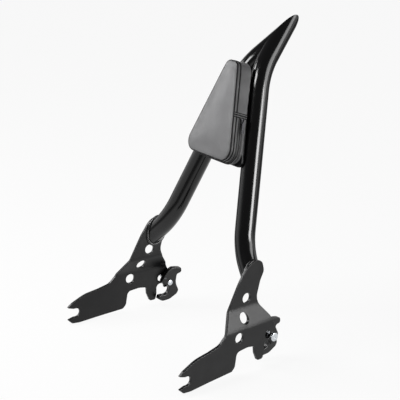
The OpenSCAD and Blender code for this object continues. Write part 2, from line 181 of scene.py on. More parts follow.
def grid_faces(rows: int, cols: int, wrap_rows: bool = False) -> Array:
    """Quads of a grid of points, closed round each row and, if asked, from last row to first.

    Args:
        rows: rows of points.
        cols: points in a row.
        wrap_rows: whether the last row meets the first.

    Returns:
        Point numbers (m, 4).
    """
    r = np.arange(rows if wrap_rows else rows - 1)[:, None]
    c = np.arange(cols)[None, :]
    down, right = (r + 1) % rows, (c + 1) % cols
    return np.stack([r * cols + c, r * cols + right, down * cols + right, down * cols + c],
                    -1).reshape(-1, 4)


def ladder(first: int, cols: int) -> Array:
    """Rungs across one closed ring of points, which cap it without a pole.

    The first and last rungs name one point twice, and become triangles in the mesh.

    Args:
        first: number of the ring's first point.
        cols: points in the ring.

    Returns:
        Point numbers (m, 4).
    """
    k = np.arange(cols // 2)
    return np.stack([first + k, first + k + 1, first + (cols - k - 1) % cols,
                     first + (cols - k) % cols], -1)


def turned(profile: Array, turns: int = 64) -> Mesh:
    """Surface of revolution about z of a profile of radius and height.

    Args:
        profile: rows of radius and height, which start and end on the axis.
        turns: columns round the axis.

    Returns:
        Points (n, 3) and faces.
    """
    a = np.linspace(0, FULL_TURN, turns, endpoint=False)
    r, z = profile[:, :1], profile[:, 1:]
    points = np.stack([r * np.cos(a), r * np.sin(a), z + 0 * a], -1).reshape(-1, 3)
    return points, grid_faces(len(profile), turns)


def frames_along(path: Array, up: Array, closed: bool = False) -> tuple[Array, Array, Array]:
    """Directions of a path, and two more that are square to it.

    The second leans on the given up vectors, and the third is square to both.

    Args:
        path: points (n, 3).
        up: vectors (n, 3).
        closed: whether the path closes on itself.

    Returns:
        Along, across and over, each (n, 3).
    """
    if closed:
        along = unit(np.roll(path, -1, 0) - np.roll(path, 1, 0))
    else:
        along = unit(np.gradient(path, axis=0))
    across = unit(np.cross(along, up))
    return along, across, np.cross(across, along)


def carried(path: Array, profile: Array, up: Array, closed: bool = False) -> Mesh:
    """A closed profile carried along a path.

    Args:
        path: points (n, 3).
        profile: rows of across and up, either (m, 2) or one for each point (n, m, 2).
        up: one vector, or one for each point.
        closed: whether the path closes on itself.

    Returns:
        Points and faces, capped at both ends of an open path.
    """
    up = np.broadcast_to(up, path.shape)
    _, across, over = frames_along(path, up, closed)
    section = np.broadcast_to(profile, (len(path),) + profile.shape[-2:])
    grid = (path[:, None] + across[:, None] * section[..., :1] + over[:, None] * section[..., 1:])
    rows, cols = grid.shape[:2]
    faces = [grid_faces(rows, cols, wrap_rows=closed)]
    if not closed:
        faces += [ladder(0, cols), ladder((rows - 1) * cols, cols)]
    return grid.reshape(-1, 3), np.vstack(faces)


def circle(r: float, n: int, squash: float = 1.0) -> Array:
    """Profile of a round cord, squashed in its second direction if asked."""
    a = np.linspace(0, FULL_TURN, n, endpoint=False)
    return np.stack([r * np.cos(a), squash * r * np.sin(a)], -1)


def slab(width: float, height: float, edge: float) -> Array:
    """Profile of a flat strip with rounded edges."""
    w, h = width / 2, height / 2
    return rounded([(-w, -h, edge), (w, -h, edge), (w, h, edge), (-w, h, edge)], 3)


def joined(parts: Sequence[Mesh]) -> Mesh:
    """Several meshes as one list of points and one list of faces.

    Args:
        parts: points and faces of each mesh.

    Returns:
        All points, and all faces with their numbers moved on.
    """
    points, faces, first = [], [], 0
    for p, f in parts:
        points.append(p)
        faces += [[k + first for k in face] for face in np.asarray(f, object).tolist()]
        first += len(p)
    return np.vstack(points), faces


@dataclass
class CutSheet:
    """A flat or joggled sheet cut to an outline, with round holes and broken edges.

    The cut edge is a quarter circle at each face, carried round every loop, and both faces
    are triangles between the loops and a grid of points. Each hole is its middle and radius,
    edge is the quarter circle's radius, and place maps flat points and depths to the frame.
    """

    outline: Array
    holes: Sequence[tuple[float, float, float]]
    thickness: float
    edge: float
    place: Callable[[Array, Array], Array]
    spacing: float = 4.0
    edge_steps: int = 3

    def loops(self) -> list[Array]:
        """The outline against the clock and each hole with it.

        Returns:
            Closed loops (n, 2), the outline first.
        """
        found = [densify(self.outline, self.spacing)]
        for x, y, r in self.holes:
            found.append(arc((x, y), r, 360, 0, 49)[:-1, :2])
        return found

    def face(self, rings: Sequence[Array]) -> tuple[Array, Array]:
        """Triangles between the loops, through a grid of points that keeps clear of them.

        Args:
            rings: closed loops (n, 2), the outline first.

        Returns:
            Points (n, 2) and triangles, none of them inside a hole.
        """
        border = np.vstack(rings)
        low, high = border.min(0), border.max(0)
        x, y = np.meshgrid(np.arange(low[0], high[0], self.spacing),
                           np.arange(low[1], high[1], self.spacing))
        inner = np.stack([x.ravel(), y.ravel()], -1)
        gap = np.linalg.norm(inner[:, None] - border[None], axis=2).min(1)
        inner = inner[gap > 0.6 * self.spacing]
        edges, first = [], 0
        for ring in rings:
            n = len(ring)
            k = np.arange(n)
            edges += np.stack([first + k, first + (k + 1) % n], -1).tolist()
            first += n
        points = np.vstack([border, inner])
        made = delaunay_2d_cdt([Vector(p) for p in points], edges, [], 1, 1e-6)
        flat = np.array([tuple(p) for p in made[0]])
        faces = np.array([f for f in made[2] if len(f) == 3])
        centre = flat[faces].mean(1)
        keep = np.ones(len(faces), bool)
        for hx, hy, r in self.holes:
            keep &= np.linalg.norm(centre - (hx, hy), axis=1) > r
        return flat, faces[keep]

    def mesh(self) -> Mesh:
        """The whole sheet, in the part's frame.

        Returns:
            Points and faces: a rim for each loop, and both faces.
        """
        t = np.radians(np.linspace(0, 90, self.edge_steps + 1))
        back = np.r_[self.edge * (1 - np.sin(t)), self.edge * (1 - np.cos(t))]
        depth = np.r_[self.edge * (1 - np.cos(t)), self.thickness - self.edge * (1 - np.sin(t))]
        parts = []
        for loop in self.loops():
            rings = np.stack([inset(loop, b) for b in back])
            rows, cols = rings.shape[:2]
            points = self.place(rings.reshape(-1, 2), np.repeat(depth, cols))
            parts.append((points, grid_faces(rows, cols)))
        flat, faces = self.face([inset(loop, self.edge) for loop in self.loops()])
        for level in (0.0, self.thickness):
            parts.append((self.place(flat, np.full(len(flat), level)), faces))
        return joined(parts)


# Finishes of the surfaces


def linear(code: str) -> tuple[float, float, float, float]:
    """Linear colour of an sRGB hex value.

    Args:
        code: a hash and six hex digits.

    Returns:
        Red, green, blue and one.
    """
    c = np.array([int(code[k:k + 2], 16) for k in (1, 3, 5)]) / 255
    c = np.where(c <= 0.04045, c / 12.92, ((c + 0.055) / 1.055) ** 2.4)
    return (*map(float, c), 1.0)


def add(tree: bpy.types.NodeTree, kind: str, inputs: dict | None = None,
        **settings: object) -> bpy.types.Node:
    """Adds one node with its settings, and links or fills its inputs.

    Args:
        tree: tree that the node goes into.
        kind: Blender's name of the node.
        inputs: value, or socket to link from, for each input.
        **settings: properties of the node.

    Returns:
        The node.
    """
    node = tree.nodes.new(kind)
    for key, value in settings.items():
        setattr(node, key, value)
    for key, value in (inputs or {}).items():
        if isinstance(value, bpy.types.NodeSocket):
            tree.links.new(value, node.inputs[key])
        else:
            node.inputs[key].default_value = value
    return node


@dataclass(frozen=True)
class Finish:
    """A surface as it was made.

    grain_mm and grain_depth_mm are the spacing and height of its relief. uneven is how far
    its colour and gloss drift, over patches of cloud_mm and smear_mm, and shine is the
    shader's specular level.
    """

    name: str
    colour: str
    roughness: float
    metallic: float = 0.0
    grain_mm: float = 2.5
    grain_depth_mm: float = 0.01
    uneven: float = 0.03
    shine: float = 0.5
    cloud_mm: float = 45.0
    smear_mm: float = 18.0

    def scale(self, size_mm: float) -> float:
        """Texture scale that gives one feature for each size."""
        return 1.0 / (size_mm * MM)

    def height(self, tree: bpy.types.NodeTree, place: bpy.types.NodeSocket) -> bpy.types.NodeSocket:
        """Height of the surface in steps of the grain depth: a soft waviness.

        Args:
            tree: the material's node tree.
            place: Object coordinates.

        Returns:
            A socket, where 1 is one grain depth.
        """
        wave = add(tree, "ShaderNodeTexNoise", {"Vector": place, "Scale": self.scale(self.grain_mm),
                                                "Detail": 2.0, "Roughness": 0.5})
        return wave.outputs["Fac"]

    def shade(self, tree: bpy.types.NodeTree, place: bpy.types.NodeSocket) -> bpy.types.NodeSocket:
        """Colour, which sinks in patches by up to three times uneven.

        Args:
            tree: the material's node tree.
            place: Object coordinates.

        Returns:
            A colour socket.
        """
        cloud = add(tree, "ShaderNodeTexNoise", {"Vector": place, "Scale": self.scale(self.cloud_mm),
                                                 "Detail": 3.0})
        dark = tuple(x * (1 - 3 * self.uneven) for x in linear(self.colour)[:3]) + (1.0,)
        ramp = add(tree, "ShaderNodeValToRGB", {"Fac": cloud.outputs["Fac"]})
        ramp.color_ramp.elements[0].position = 0.35
        ramp.color_ramp.elements[0].color = dark
        ramp.color_ramp.elements[1].position = 0.65
        ramp.color_ramp.elements[1].color = linear(self.colour)
        return ramp.outputs["Color"]

    def gloss(self, tree: bpy.types.NodeTree, place: bpy.types.NodeSocket) -> bpy.types.NodeSocket:
        """Roughness, which handling makes a little uneven.

        Args:
            tree: the material's node tree.
            place: Object coordinates.

        Returns:
            A socket, within four times uneven of the roughness.
        """
        smear = add(tree, "ShaderNodeTexNoise", {"Vector": place, "Scale": self.scale(self.smear_mm),
                                                 "Detail": 4.0})
        low, high = self.roughness * (1 - 4 * self.uneven), self.roughness * (1 + 4 * self.uneven)
        spread = add(tree, "ShaderNodeMapRange", {"Value": smear.outputs["Fac"], "From Min": 0.3,
                                                  "From Max": 0.7, "To Min": low, "To Max": high})
        return spread.outputs["Result"]

    def extra(self, shader: bpy.types.Node) -> None:
        """Settings of the shader that only some finishes have."""

    def material(self) -> bpy.types.Material:
        """The material, made once.

        Returns:
            The material of this name, with all its nodes.
        """
        found = bpy.data.materials.get(self.name)
        if found:
            return found
        made = bpy.data.materials.new(self.name)
        made.use_nodes = True
        tree = made.node_tree
        tree.nodes.clear()
        place = add(tree, "ShaderNodeTexCoord").outputs["Object"]
        bump = add(tree, "ShaderNodeBump", {"Height": self.height(tree, place), "Strength": 1.0,
                                            "Distance": self.grain_depth_mm * MM})
        shader = add(tree, "ShaderNodeBsdfPrincipled", {
            "Base Color": self.shade(tree, place), "Roughness": self.gloss(tree, place),
            "Metallic": self.metallic, "Specular IOR Level": self.shine,
            "Normal": bump.outputs["Normal"]})
        self.extra(shader)
        add(tree, "ShaderNodeOutputMaterial", {"Surface": shader.outputs["BSDF"]})
        made.diffuse_color = linear(self.colour)
        return made


@dataclass(frozen=True)
class PowderCoat(Finish):
    """Gloss black polyester powder coat: baked on, with the faint orange peel of its flow."""


@dataclass(frozen=True)
class BrightZinc(Finish):
    """Clear-passivated zinc plate: a bluish bright metal with fine turning marks under it."""

    def height(self, tree: bpy.types.NodeTree, place: bpy.types.NodeSocket) -> bpy.types.NodeSocket:
        """Fine random marks, drawn at 0.6 mm so that they show.

        Args:
            tree: the material's node tree.
            place: Object coordinates.

        Returns:
            A socket, where 1 is one grain depth.
        """
        mark = add(tree, "ShaderNodeTexNoise", {"Vector": place, "Scale": self.scale(self.grain_mm),
                                                "Detail": 5.0, "Roughness": 0.7})
        return mark.outputs["Fac"]


@dataclass(frozen=True)
class Leather(Finish):
    """Chrome-tanned cowhide with an embossed fine grain and a soft sheen.

    The pebbles are Voronoi cells, and a slower noise gives the soft creases of a stretched
    panel.
    """

    crease_mm: float = 14.0
    drift_mm: float = 3.0
    drift_share: float = 0.0015
    sheen: float = 0.12

    def height(self, tree: bpy.types.NodeTree, place: bpy.types.NodeSocket) -> bpy.types.NodeSocket:
        """Pebble height: the distance to the cell borders, bent by noise, with soft creases.

        Args:
            tree: the material's node tree.
            place: Object coordinates.

        Returns:
            A socket, where 1 is one grain depth.
        """
        drift = add(tree, "ShaderNodeTexNoise", {"Vector": place, "Scale": self.scale(self.drift_mm),
                                                 "Detail": 2.0})
        bent = add(tree, "ShaderNodeMixRGB", {"Fac": self.drift_share, "Color1": place,
                                              "Color2": drift.outputs["Color"]})
        pebble = add(tree, "ShaderNodeTexVoronoi", {"Vector": bent.outputs["Color"],
                                                    "Scale": self.scale(self.grain_mm)},
                     feature="DISTANCE_TO_EDGE")
        flat = add(tree, "ShaderNodeMapRange", {"Value": pebble.outputs["Distance"],
                                                "From Min": 0.0, "From Max": 0.3})
        crease = add(tree, "ShaderNodeTexNoise", {"Vector": place, "Detail": 3.0,
                                                  "Scale": self.scale(self.crease_mm)})
        both = add(tree, "ShaderNodeMath", {0: crease.outputs["Fac"], 1: 3.0,
                                            2: flat.outputs["Result"]}, operation="MULTIPLY_ADD")
        return both.outputs["Value"]

    def extra(self, shader: bpy.types.Node) -> None:
        """A weak sheen, as the wax on the grain gives."""
        shader.inputs["Sheen Weight"].default_value = self.sheen
        shader.inputs["Sheen Roughness"].default_value = 0.4


@dataclass(frozen=True)
class WovenTape(Finish):
    """Polyester zip tape: fine ribs of warp across a soft matt weft."""

    def height(self, tree: bpy.types.NodeTree, place: bpy.types.NodeSocket) -> bpy.types.NodeSocket:
        """Two crossed waves a thread apart, drawn at 0.7 mm so that they show.

        Args:
            tree: the material's node tree.
            place: Object coordinates.

        Returns:
            A socket, where 1 is one grain depth.
        """
        weave = [add(tree, "ShaderNodeTexWave", {"Vector": place, "Scale": self.scale(
            self.grain_mm * FULL_TURN / 3), "Distortion": 0.4}, bands_direction=way)
            for way in ("X", "Z")]
        over = add(tree, "ShaderNodeMath", {0: weave[0].outputs["Fac"], 1: weave[1].outputs["Fac"]},
                   operation="MULTIPLY")
        return over.outputs["Value"]


# Gloss coat over flat sheet: a satin black whose sheen shows how flat the plate is.
PLATE_COAT = PowderCoat("powder_coat_on_plate", "#08080a", 0.32, grain_mm=3.0,
                        grain_depth_mm=0.004, shine=0.3)
# The same coat over drawn tube, where it flows out smooth: a deep black with one sharp streak.
TUBE_COAT = PowderCoat("powder_coat_on_tube", "#030304", 0.15, grain_mm=3.5,
                       grain_depth_mm=0.002, shine=0.42)
# The same coat over the drops of a weld: a row of small glints.
WELD_COAT = PowderCoat("powder_coat_on_weld", "#08080a", 0.13, grain_mm=1.6,
                       grain_depth_mm=0.04, shine=0.5)
# Electro-coated cast steel: a duller black that glints only on its rounded edges.
LEVER_COAT = PowderCoat("e_coat_on_cast_lever", "#0c0c0e", 0.34, grain_mm=1.0,
                        grain_depth_mm=0.015, shine=0.35)
# Zinc-plated turned steel: the one bright, bluish metal of the bar.
ZINC = BrightZinc("bright_zinc_plate", "#c8ccd0", 0.24, 1.0, grain_mm=0.6, grain_depth_mm=0.004)
# Ground and oiled steel: a greyer metal with a softer glint.
PIN_STEEL = BrightZinc("ground_pin_steel", "#8f9194", 0.3, 1.0, grain_mm=0.6, grain_depth_mm=0.003)
# Hard-drawn spring wire: a dark, plain metal.
WIRE = BrightZinc("drawn_spring_wire", "#7d7f83", 0.3, 1.0, grain_mm=0.6, grain_depth_mm=0.003)
# Steel blackened by black oxide: nearly matt, with a metal's dark gloss.
SCREW_BLACK = BrightZinc("black_oxide_screw", "#17171a", 0.4, 1.0, grain_mm=0.6,
                         grain_depth_mm=0.003)
# Black-dyed hide under strong light: it reads as a soft dark grey with a broad, weak sheen.
LEATHER = Leather("fine_grain_leather", "#6f6f70", 0.5, grain_mm=0.9, grain_depth_mm=0.05,
                  uneven=0.05, shine=0.2)
# Thin hide skived and rolled over a cord, in the hide's own near-black. Kept dark beside the lighter
# panels, it is also the painted shade along the piping, and the same near-black paints the shade in
# the seam grooves.
WELT_AND_GROOVE_SHADE = Leather("leather_welt_and_groove_shade", "#0b0b0c", 0.6, grain_mm=0.7, grain_depth_mm=0.02, shine=0.12)
# Woven polyester: matt and dark, with ribs.
TAPE = WovenTape("woven_zip_tape", "#121213", 0.75, grain_mm=0.7, grain_depth_mm=0.05)
# Extruded nylon: a smooth dark plastic that glints on each turn of the coil.
COIL = Finish("nylon_zip_coil", "#1a1a1c", 0.35, grain_mm=1.0, grain_depth_mm=0.004)
# Die-cast zinc with a gunmetal finish: a dark metal, brighter at its edges.
ZIP_METAL = BrightZinc("gunmetal_zip_slider", "#313133", 0.3, 1.0, grain_mm=0.6,
                       grain_depth_mm=0.004)
# Bonded thread, whose own colour is black: its pale grey is a painted highlight, the glint along the
# beaded seams.
THREAD_PAINTED_HIGHLIGHT = Finish("bonded_thread_painted_highlight", "#8c8c8d", 0.5, grain_mm=0.5, grain_depth_mm=0.03)
# Rotary-cut birch: bare, matt and warm, behind the foam.
PLYWOOD = Finish("birch_plywood", "#b98f5c", 0.7, grain_mm=1.5, grain_depth_mm=0.05, uneven=0.08)


# Pieces of the object


def piece(name: str, mesh: Mesh, finish: Finish, body: str,
          stands_for: Sequence[str] = (), sharp: float = 40.0,
          weighted: bool = False) -> bpy.types.Object:
    """Puts a mesh into the scene as a piece of the object.

    Args:
        name: plain name of the piece.
        mesh: points in millimetres and faces.
        finish: its surface.
        body: the moving body that it rides on.
        stands_for: solids that it replaces.
        sharp: angle over which an edge stays sharp.
        weighted: whether flat faces rule the shading of the edges beside them.

    Returns:
        The new object, with its place in its mesh.
    """
    points, faces = mesh
    data = bpy.data.meshes.new(name)
    data.from_pydata((np.asarray(points) * MM).tolist(), [],
                     [list(dict.fromkeys(map(int, face))) for face in faces])
    shell = bmesh.new()
    shell.from_mesh(data)
    bmesh.ops.remove_doubles(shell, verts=shell.verts, dist=SAME_PLACE)
    bmesh.ops.delete(shell, geom=[v for v in shell.verts if not v.link_faces], context="VERTS")
    bmesh.ops.recalc_face_normals(shell, faces=shell.faces)
    shell.to_mesh(data)
    shell.free()
    data.shade_smooth()
    data.set_sharp_from_angle(angle=math.radians(sharp))
    made = bpy.data.objects.new(name, data)
    bpy.context.scene.collection.objects.link(made)
    data.materials.append(finish.material())
    if weighted:
        ruled = made.modifiers.new("flat_faces_rule", "WEIGHTED_NORMAL")
        ruled.keep_sharp = True
        ruled.weight = 100
    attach(made, body)
    if stands_for:
        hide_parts(*stands_for)
    LOG.info("%s: %d faces on %s", name, len(data.polygons), body)
    return made


def dress(node: str, finish: Finish) -> None:
    """Gives a kept solid its finish.

    Args:
        node: name of the solid.
        finish: its surface.
    """
    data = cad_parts[node].data
    data.materials.clear()
    data.materials.append(finish.material())
    LOG.info("%s keeps its solid", node)


def coordinates(data: bpy.types.Mesh) -> Array:
    """Places of a mesh's points.

    Args:
        data: the mesh.

    Returns:
        Points (n, 3) in metres.
    """
    flat = np.empty(len(data.vertices) * 3)
    data.vertices.foreach_get("co", flat)
    return flat.reshape(-1, 3)


@dataclass(frozen=True)
class PlateFrame:
    """Where the side plates stand: u runs back from the front slot, v up, w outboard.

    dock_half is half the distance between their inner faces at the front slots, toe turns
    them in towards the back, and joggle is the step inboard of their upper ends.
    """

    dock_half: float = 153.8
    toe: float = math.radians(4.5)
    joggle: float = 16.1

    def place(self, side: Side, u: Array, v: Array, w: Array) -> Array:
        """Points in the part's frame.

        Args:
            side: which half of the bar.
            u: distances back.
            v: heights.
            w: distances outboard of the inner face.

        Returns:
            Points with one more axis for x, y and z.
        """
        x = self.dock_half - u * math.sin(self.toe) + w * math.cos(self.toe)
        y = u * math.cos(self.toe) + w * math.sin(self.toe)
        return np.stack([side.value * x, y, v + 0 * u], -1)

    def outward(self) -> Array:
        """Normal of the left plate."""
        return np.array([math.cos(self.toe), math.sin(self.toe), 0])


PLATES = PlateFrame()


@dataclass
class Uprights:
    """The two bent tubes, each with the weld round its foot.

    foot_reach and spear_reach carry the centreline on past the cuts at its two ends. rows are
    the rings of points at the foot, along the tube and at the spear, and end_margin keeps the
    middle ones clear of the cuts. The bead stands proud of its corner and swells by its
    ripple at each drop.
    """

    radius: float = TUBE_R
    bend: float = 120.0
    spear_rise: float = math.radians(40.2)
    spear_toe: float = math.radians(16.6)
    foot_splay: float = math.radians(44.6)
    foot_rake: float = math.radians(15.1)
    foot_reach: float = 130.0
    spear_reach: float = 135.0
    end_margin: float = 3.0
    bead_r: float = 2.5
    bead_proud: float = 0.25
    bead_ripple: float = 0.1
    bead_drops: int = 54
    columns: int = 96
    rows: tuple[int, int, int] = (8, 150, 80)
    samples: int = 1600
    path: Array = field(init=False)
    ex: Array = field(init=False)
    ey: Array = field(init=False)
    s: Array = field(init=False)

    def __post_init__(self) -> None:
        """Works out the left centreline, its lengths and two directions square to it, once."""
        low, high = np.array(LOW_BEND), np.array(HIGH_BEND)
        foot = unit([math.tan(self.foot_splay), -math.tan(self.foot_rake), -1])
        main = unit(high - low)
        spear = np.array([-math.sin(self.spear_toe),
                          math.cos(self.spear_toe) * math.cos(self.spear_rise),
                          math.cos(self.spear_toe) * math.sin(self.spear_rise)])
        path = np.vstack([low + foot * self.foot_reach, self.bent(low, -foot, main),
                          self.bent(high, main, spear), high + spear * self.spear_reach])
        self.path = resample(path, self.samples)
        along = unit(np.gradient(self.path, axis=0))
        self.ex = unit(np.cross(along, [1, 0, 0]))
        self.ey = np.cross(along, self.ex)
        self.s = np.r_[0, np.cumsum(np.linalg.norm(np.diff(self.path, axis=0), axis=1))]

    def bent(self, corner: Array, before: Array, after: Array, steps: int = 60) -> Array:
        """Points of one bend: a circle tangent to both directions.

        Args:
            corner: where the two straight stretches would meet.
            before: direction in which the centreline comes.
            after: direction in which it leaves.
            steps: number of points.

        Returns:
            Points (steps, 3).
        """
        turn = math.acos(before @ after)
        start = corner - before * self.bend * math.tan(turn / 2)
        inward = unit(after - before * (before @ after))
        t = np.linspace(0, turn, steps)[:, None]
        return start + self.bend * (np.sin(t) * before + (1 - np.cos(t)) * inward)

    def skin(self, s: Array, angle: Array, r: float) -> Array:
        """Points round the centreline.

        Args:
            s: lengths along it.
            angle: angles round it, in the shape of s.
            r: distance from it.

        Returns:
            Points in the shape of s, with one more axis for x, y and z.
        """
        middle, ex, ey = [np.stack([np.interp(s, self.s, a[:, k]) for k in range(3)], -1)
                          for a in (self.path, self.ex, self.ey)]
        return middle + r * (np.cos(angle)[..., None] * unit(ex) + np.sin(angle)[..., None] * unit(ey))

    def crossing(self, clear: Array) -> Array:
        """Length at which each line of the skin first passes through a plane.

        Args:
            clear: distance left to the plane, by length and by angle.

        Returns:
            One length for each angle, between the two samples about the change of sign.
        """
        past = np.argmax(clear < 0, axis=0)
        line = np.arange(clear.shape[1])
        before, after = clear[past - 1, line], clear[past, line]
        return self.s[past - 1] + (self.s[past] - self.s[past - 1]) * before / (before - after)

    def ends(self, angle: Array) -> tuple[Array, Array]:
        """Lengths at which each line of the skin leaves the plate and meets the middle plane.

        Args:
            angle: angles of the lines round the tube.

        Returns:
            The first and the last length of each line.
        """
        skin = self.skin(*np.meshgrid(self.s, angle, indexing="ij"), self.radius)
        wall = PLATES.place(Side.LEFT, np.zeros(1), np.zeros(1), np.full(1, -PLATES.joggle))[0]
        return self.crossing((skin - wall) @ PLATES.outward()), self.crossing(skin[..., 0])

    def tube(self, side: Side) -> Mesh:
        """The skin from the plate to the middle plane, with rungs across both ends.

        Args:
            side: which half of the bar.

        Returns:
            Points and faces. Rows near each end follow its cut, and the rest are square.
        """
        angle = np.linspace(-math.pi / 2, 1.5 * math.pi, self.columns, endpoint=False)
        first, last = self.ends(angle)
        low, high = first.max() + self.end_margin, last.min() - self.end_margin
        foot, span, spear = [np.linspace(0, 1, n)[:, None] for n in self.rows]
        s = np.vstack([first + (low - first) * foot,
                       np.repeat(low + (high - low) * span[1:-1], self.columns, 1),
                       high + (last - high) * spear])
        grid = self.skin(s, np.broadcast_to(angle, s.shape), self.radius)
        grid[-1, :, 0] = 0
        n = len(s)
        faces = np.vstack([grid_faces(n, self.columns), ladder(0, self.columns),
                           ladder((n - 1) * self.columns, self.columns)])
        return grid.reshape(-1, 3) * [side.value, 1, 1], faces

    def foot_bead(self, side: Side) -> Mesh:
        """Rippled weld round the foot: a circle in the corner between tube and plate.

        Its radius swells and sinks with each drop of the weld, as the size of a sine does.

        Args:
            side: which half of the bar.

        Returns:
            Points and faces of a closed ring.
        """
        angle = np.linspace(0, FULL_TURN, 360, endpoint=False)
        first, _ = self.ends(angle)
        line = self.skin(first, angle, self.radius)
        inboard = -PLATES.outward()
        away = self.skin(first, angle, self.radius + 1) - line
        away = unit(away - (away @ inboard)[:, None] * inboard)
        r = self.bead_r * (1 + self.bead_ripple * np.abs(np.sin(angle * self.bead_drops / 2)))
        turn = np.linspace(0, FULL_TURN, 14, endpoint=False)[None, :, None]
        centre = line + self.bead_proud * (away + inboard)
        grid = centre[:, None] + r[:, None, None] * (np.cos(turn) * away[:, None]
                                                     + np.sin(turn) * inboard)
        return grid.reshape(-1, 3) * [side.value, 1, 1], grid_faces(*grid.shape[:2], wrap_rows=True)

    def build(self) -> None:
        """Both tubes and the beads round their feet."""
        for side in Side:
            piece(f"{side.word}_tube", self.tube(side), TUBE_COAT, "bar",
                  [f"{side.word}_upright"], sharp=30)
            piece(f"{side.word}_foot_bead", self.foot_bead(side), WELD_COAT, "bar",
                  [f"{side.word}_foot_weld"], sharp=60)


@dataclass
class SidePlates:
    """The joggled plates, cut to shape with their edges broken.

    The joggle runs from joggle_low to joggle_high, with bends of a middle radius. stop_r and
    window_angle place the stop pin's window about the pivot.
    """

    thickness: float = 5.0
    edge: float = 0.55
    spacing: float = 3.0
    joggle_low: float = 50.5
    joggle_high: float = 76.5
    bend: float = 7.0
    slot_r: float = 7.5
    seat_r: float = 7.5
    seat: tuple[float, float] = (158.5, 11.0)
    lightening: tuple[tuple[float, float], ...] = ((101.4, 38.4), (117.8, 63.5), (129.6, 90.2))
    lightening_r: float = 8.0
    pivot: tuple[float, float] = (170.5, 21.5)
    pivot_r: float = 4.0
    window_r: float = 6.0
    stop_r: float = 12.6
    window_angle: float = 150.0

    def outline(self) -> Array:
        """Outline against the clock, from the upper prong over the lobe and back.

        Returns:
            Closed loop (n, 2) of distance back and height.
        """
        middle, r = self.seat[0], self.seat_r
        top = [(-14, 10.5, 0.6), (-11.5, 12.6, 1), (-6.8, 16.3, 3), (17, 27.6, 60), (42, 31.9, 60),
               (62.5, 37, 18), (74, 47.5, 10), (93.3, 76, 4), (115.5, 116.6, 90), (130.5, 138, 22),
               (147, 146.2, 12), (160.5, 142.8, 11), (164.6, 126, 12), (157, 112, 26),
               (149.5, 87, 22), (155, 73, 10), (166, 58, 4), (175, 36.8, 22), (181, 24, 9),
               (178, 10.5, 8), (middle + r, 10, 2)]
        low = [(middle - r, 2, 6), (148.6, -8.4, 4), (138, -8.4, 3.5), (132.6, 5, 8),
               (131.8, 16.6, 4), (118, 18.9, 30), (96.5, 16.5, 8), (92.6, -6, 10), (86.5, -11.9, 4),
               (42, -15.2, 60), (6, -18.4, 20), (-7, -17.4, 4), (-14.4, -10.5, 1), (-4, -7.5, 3)]
        rows = (top + arc(self.seat, r, 0, 180).tolist() + low
                + arc((0, 0), self.slot_r, -90, 90).tolist() + [(-4, 7.5, 3)])
        return rounded(rows)[::-1]

    def section(self) -> tuple[Array, Array]:
        """Heights with the offsets of the inner and the outer face, round both bends.

        Returns:
            Rows of offset and height of the inner face, and those of the outer face.
        """
        a = math.atan(PLATES.joggle / (self.joggle_high - self.joggle_low))
        back, mid = self.bend * math.tan(a / 2), self.thickness / 2
        low = np.array([mid - self.bend, self.joggle_low - back])
        high = np.array([mid - PLATES.joggle + self.bend, self.joggle_high + back])
        t = np.linspace(0, a, 24)[:, None]
        out, back_in = np.hstack([np.cos(t), np.sin(t)]), np.hstack([np.cos(a - t), np.sin(a - t)])
        far = 400.0

        def face(depth: float, r_low: float, r_high: float) -> Array:
            """One face: upright, round the lower bend, round the upper one, upright."""
            return np.vstack([[[depth, -far]], low + r_low * out, high - r_high * back_in,
                              [[depth - PLATES.joggle, far]]])

        return (face(0.0, self.bend - mid, self.bend + mid),
                face(self.thickness, self.bend + mid, self.bend - mid))

    def placer(self, side: Side) -> Callable[[Array, Array], Array]:
        """Maps outline points and depth onto the joggled sheet of one side.

        Args:
            side: which half of the bar.

        Returns:
            A function from points (n, 2) and depths (n) to points (n, 3).
        """
        inner, outer = self.section()

        def place(flat: Array, depth: Array) -> Array:
            """Offset between the two faces of the section at each point's height.

            Args:
                flat: points (n, 2) of the outline.
                depth: distances from the inner face.

            Returns:
                Points in the part's frame.
            """
            near = np.interp(flat[:, 1], inner[:, 1], inner[:, 0])
            far = np.interp(flat[:, 1], outer[:, 1], outer[:, 0])
            w = near + (far - near) * depth / self.thickness
            return PLATES.place(side, flat[:, 0], flat[:, 1], w)

        return place

    def around_pivot(self, reach: float, degrees: float) -> Array:
        """Point at a distance and an angle from the pivot, about the pivot."""
        a = math.radians(degrees)
        return reach * np.array([math.cos(a), math.sin(a)])

    def holes(self) -> list[tuple[float, float, float]]:
        """Lightening holes, the pivot's hole and the stop pin's window."""
        window = self.pivot + self.around_pivot(self.stop_r, self.window_angle)
        return [*((u, v, self.lightening_r) for u, v in self.lightening),
                (*self.pivot, self.pivot_r), (*window, self.window_r)]

    def build(self) -> None:
        """Both plates."""
        for side in Side:
            sheet = CutSheet(self.outline(), self.holes(), self.thickness, self.edge,
                             self.placer(side), self.spacing)
            piece(f"{side.word}_plate", sheet.mesh(), PLATE_COAT, "bar",
                  [f"{side.word}_side_plate"], sharp=50, weighted=True)


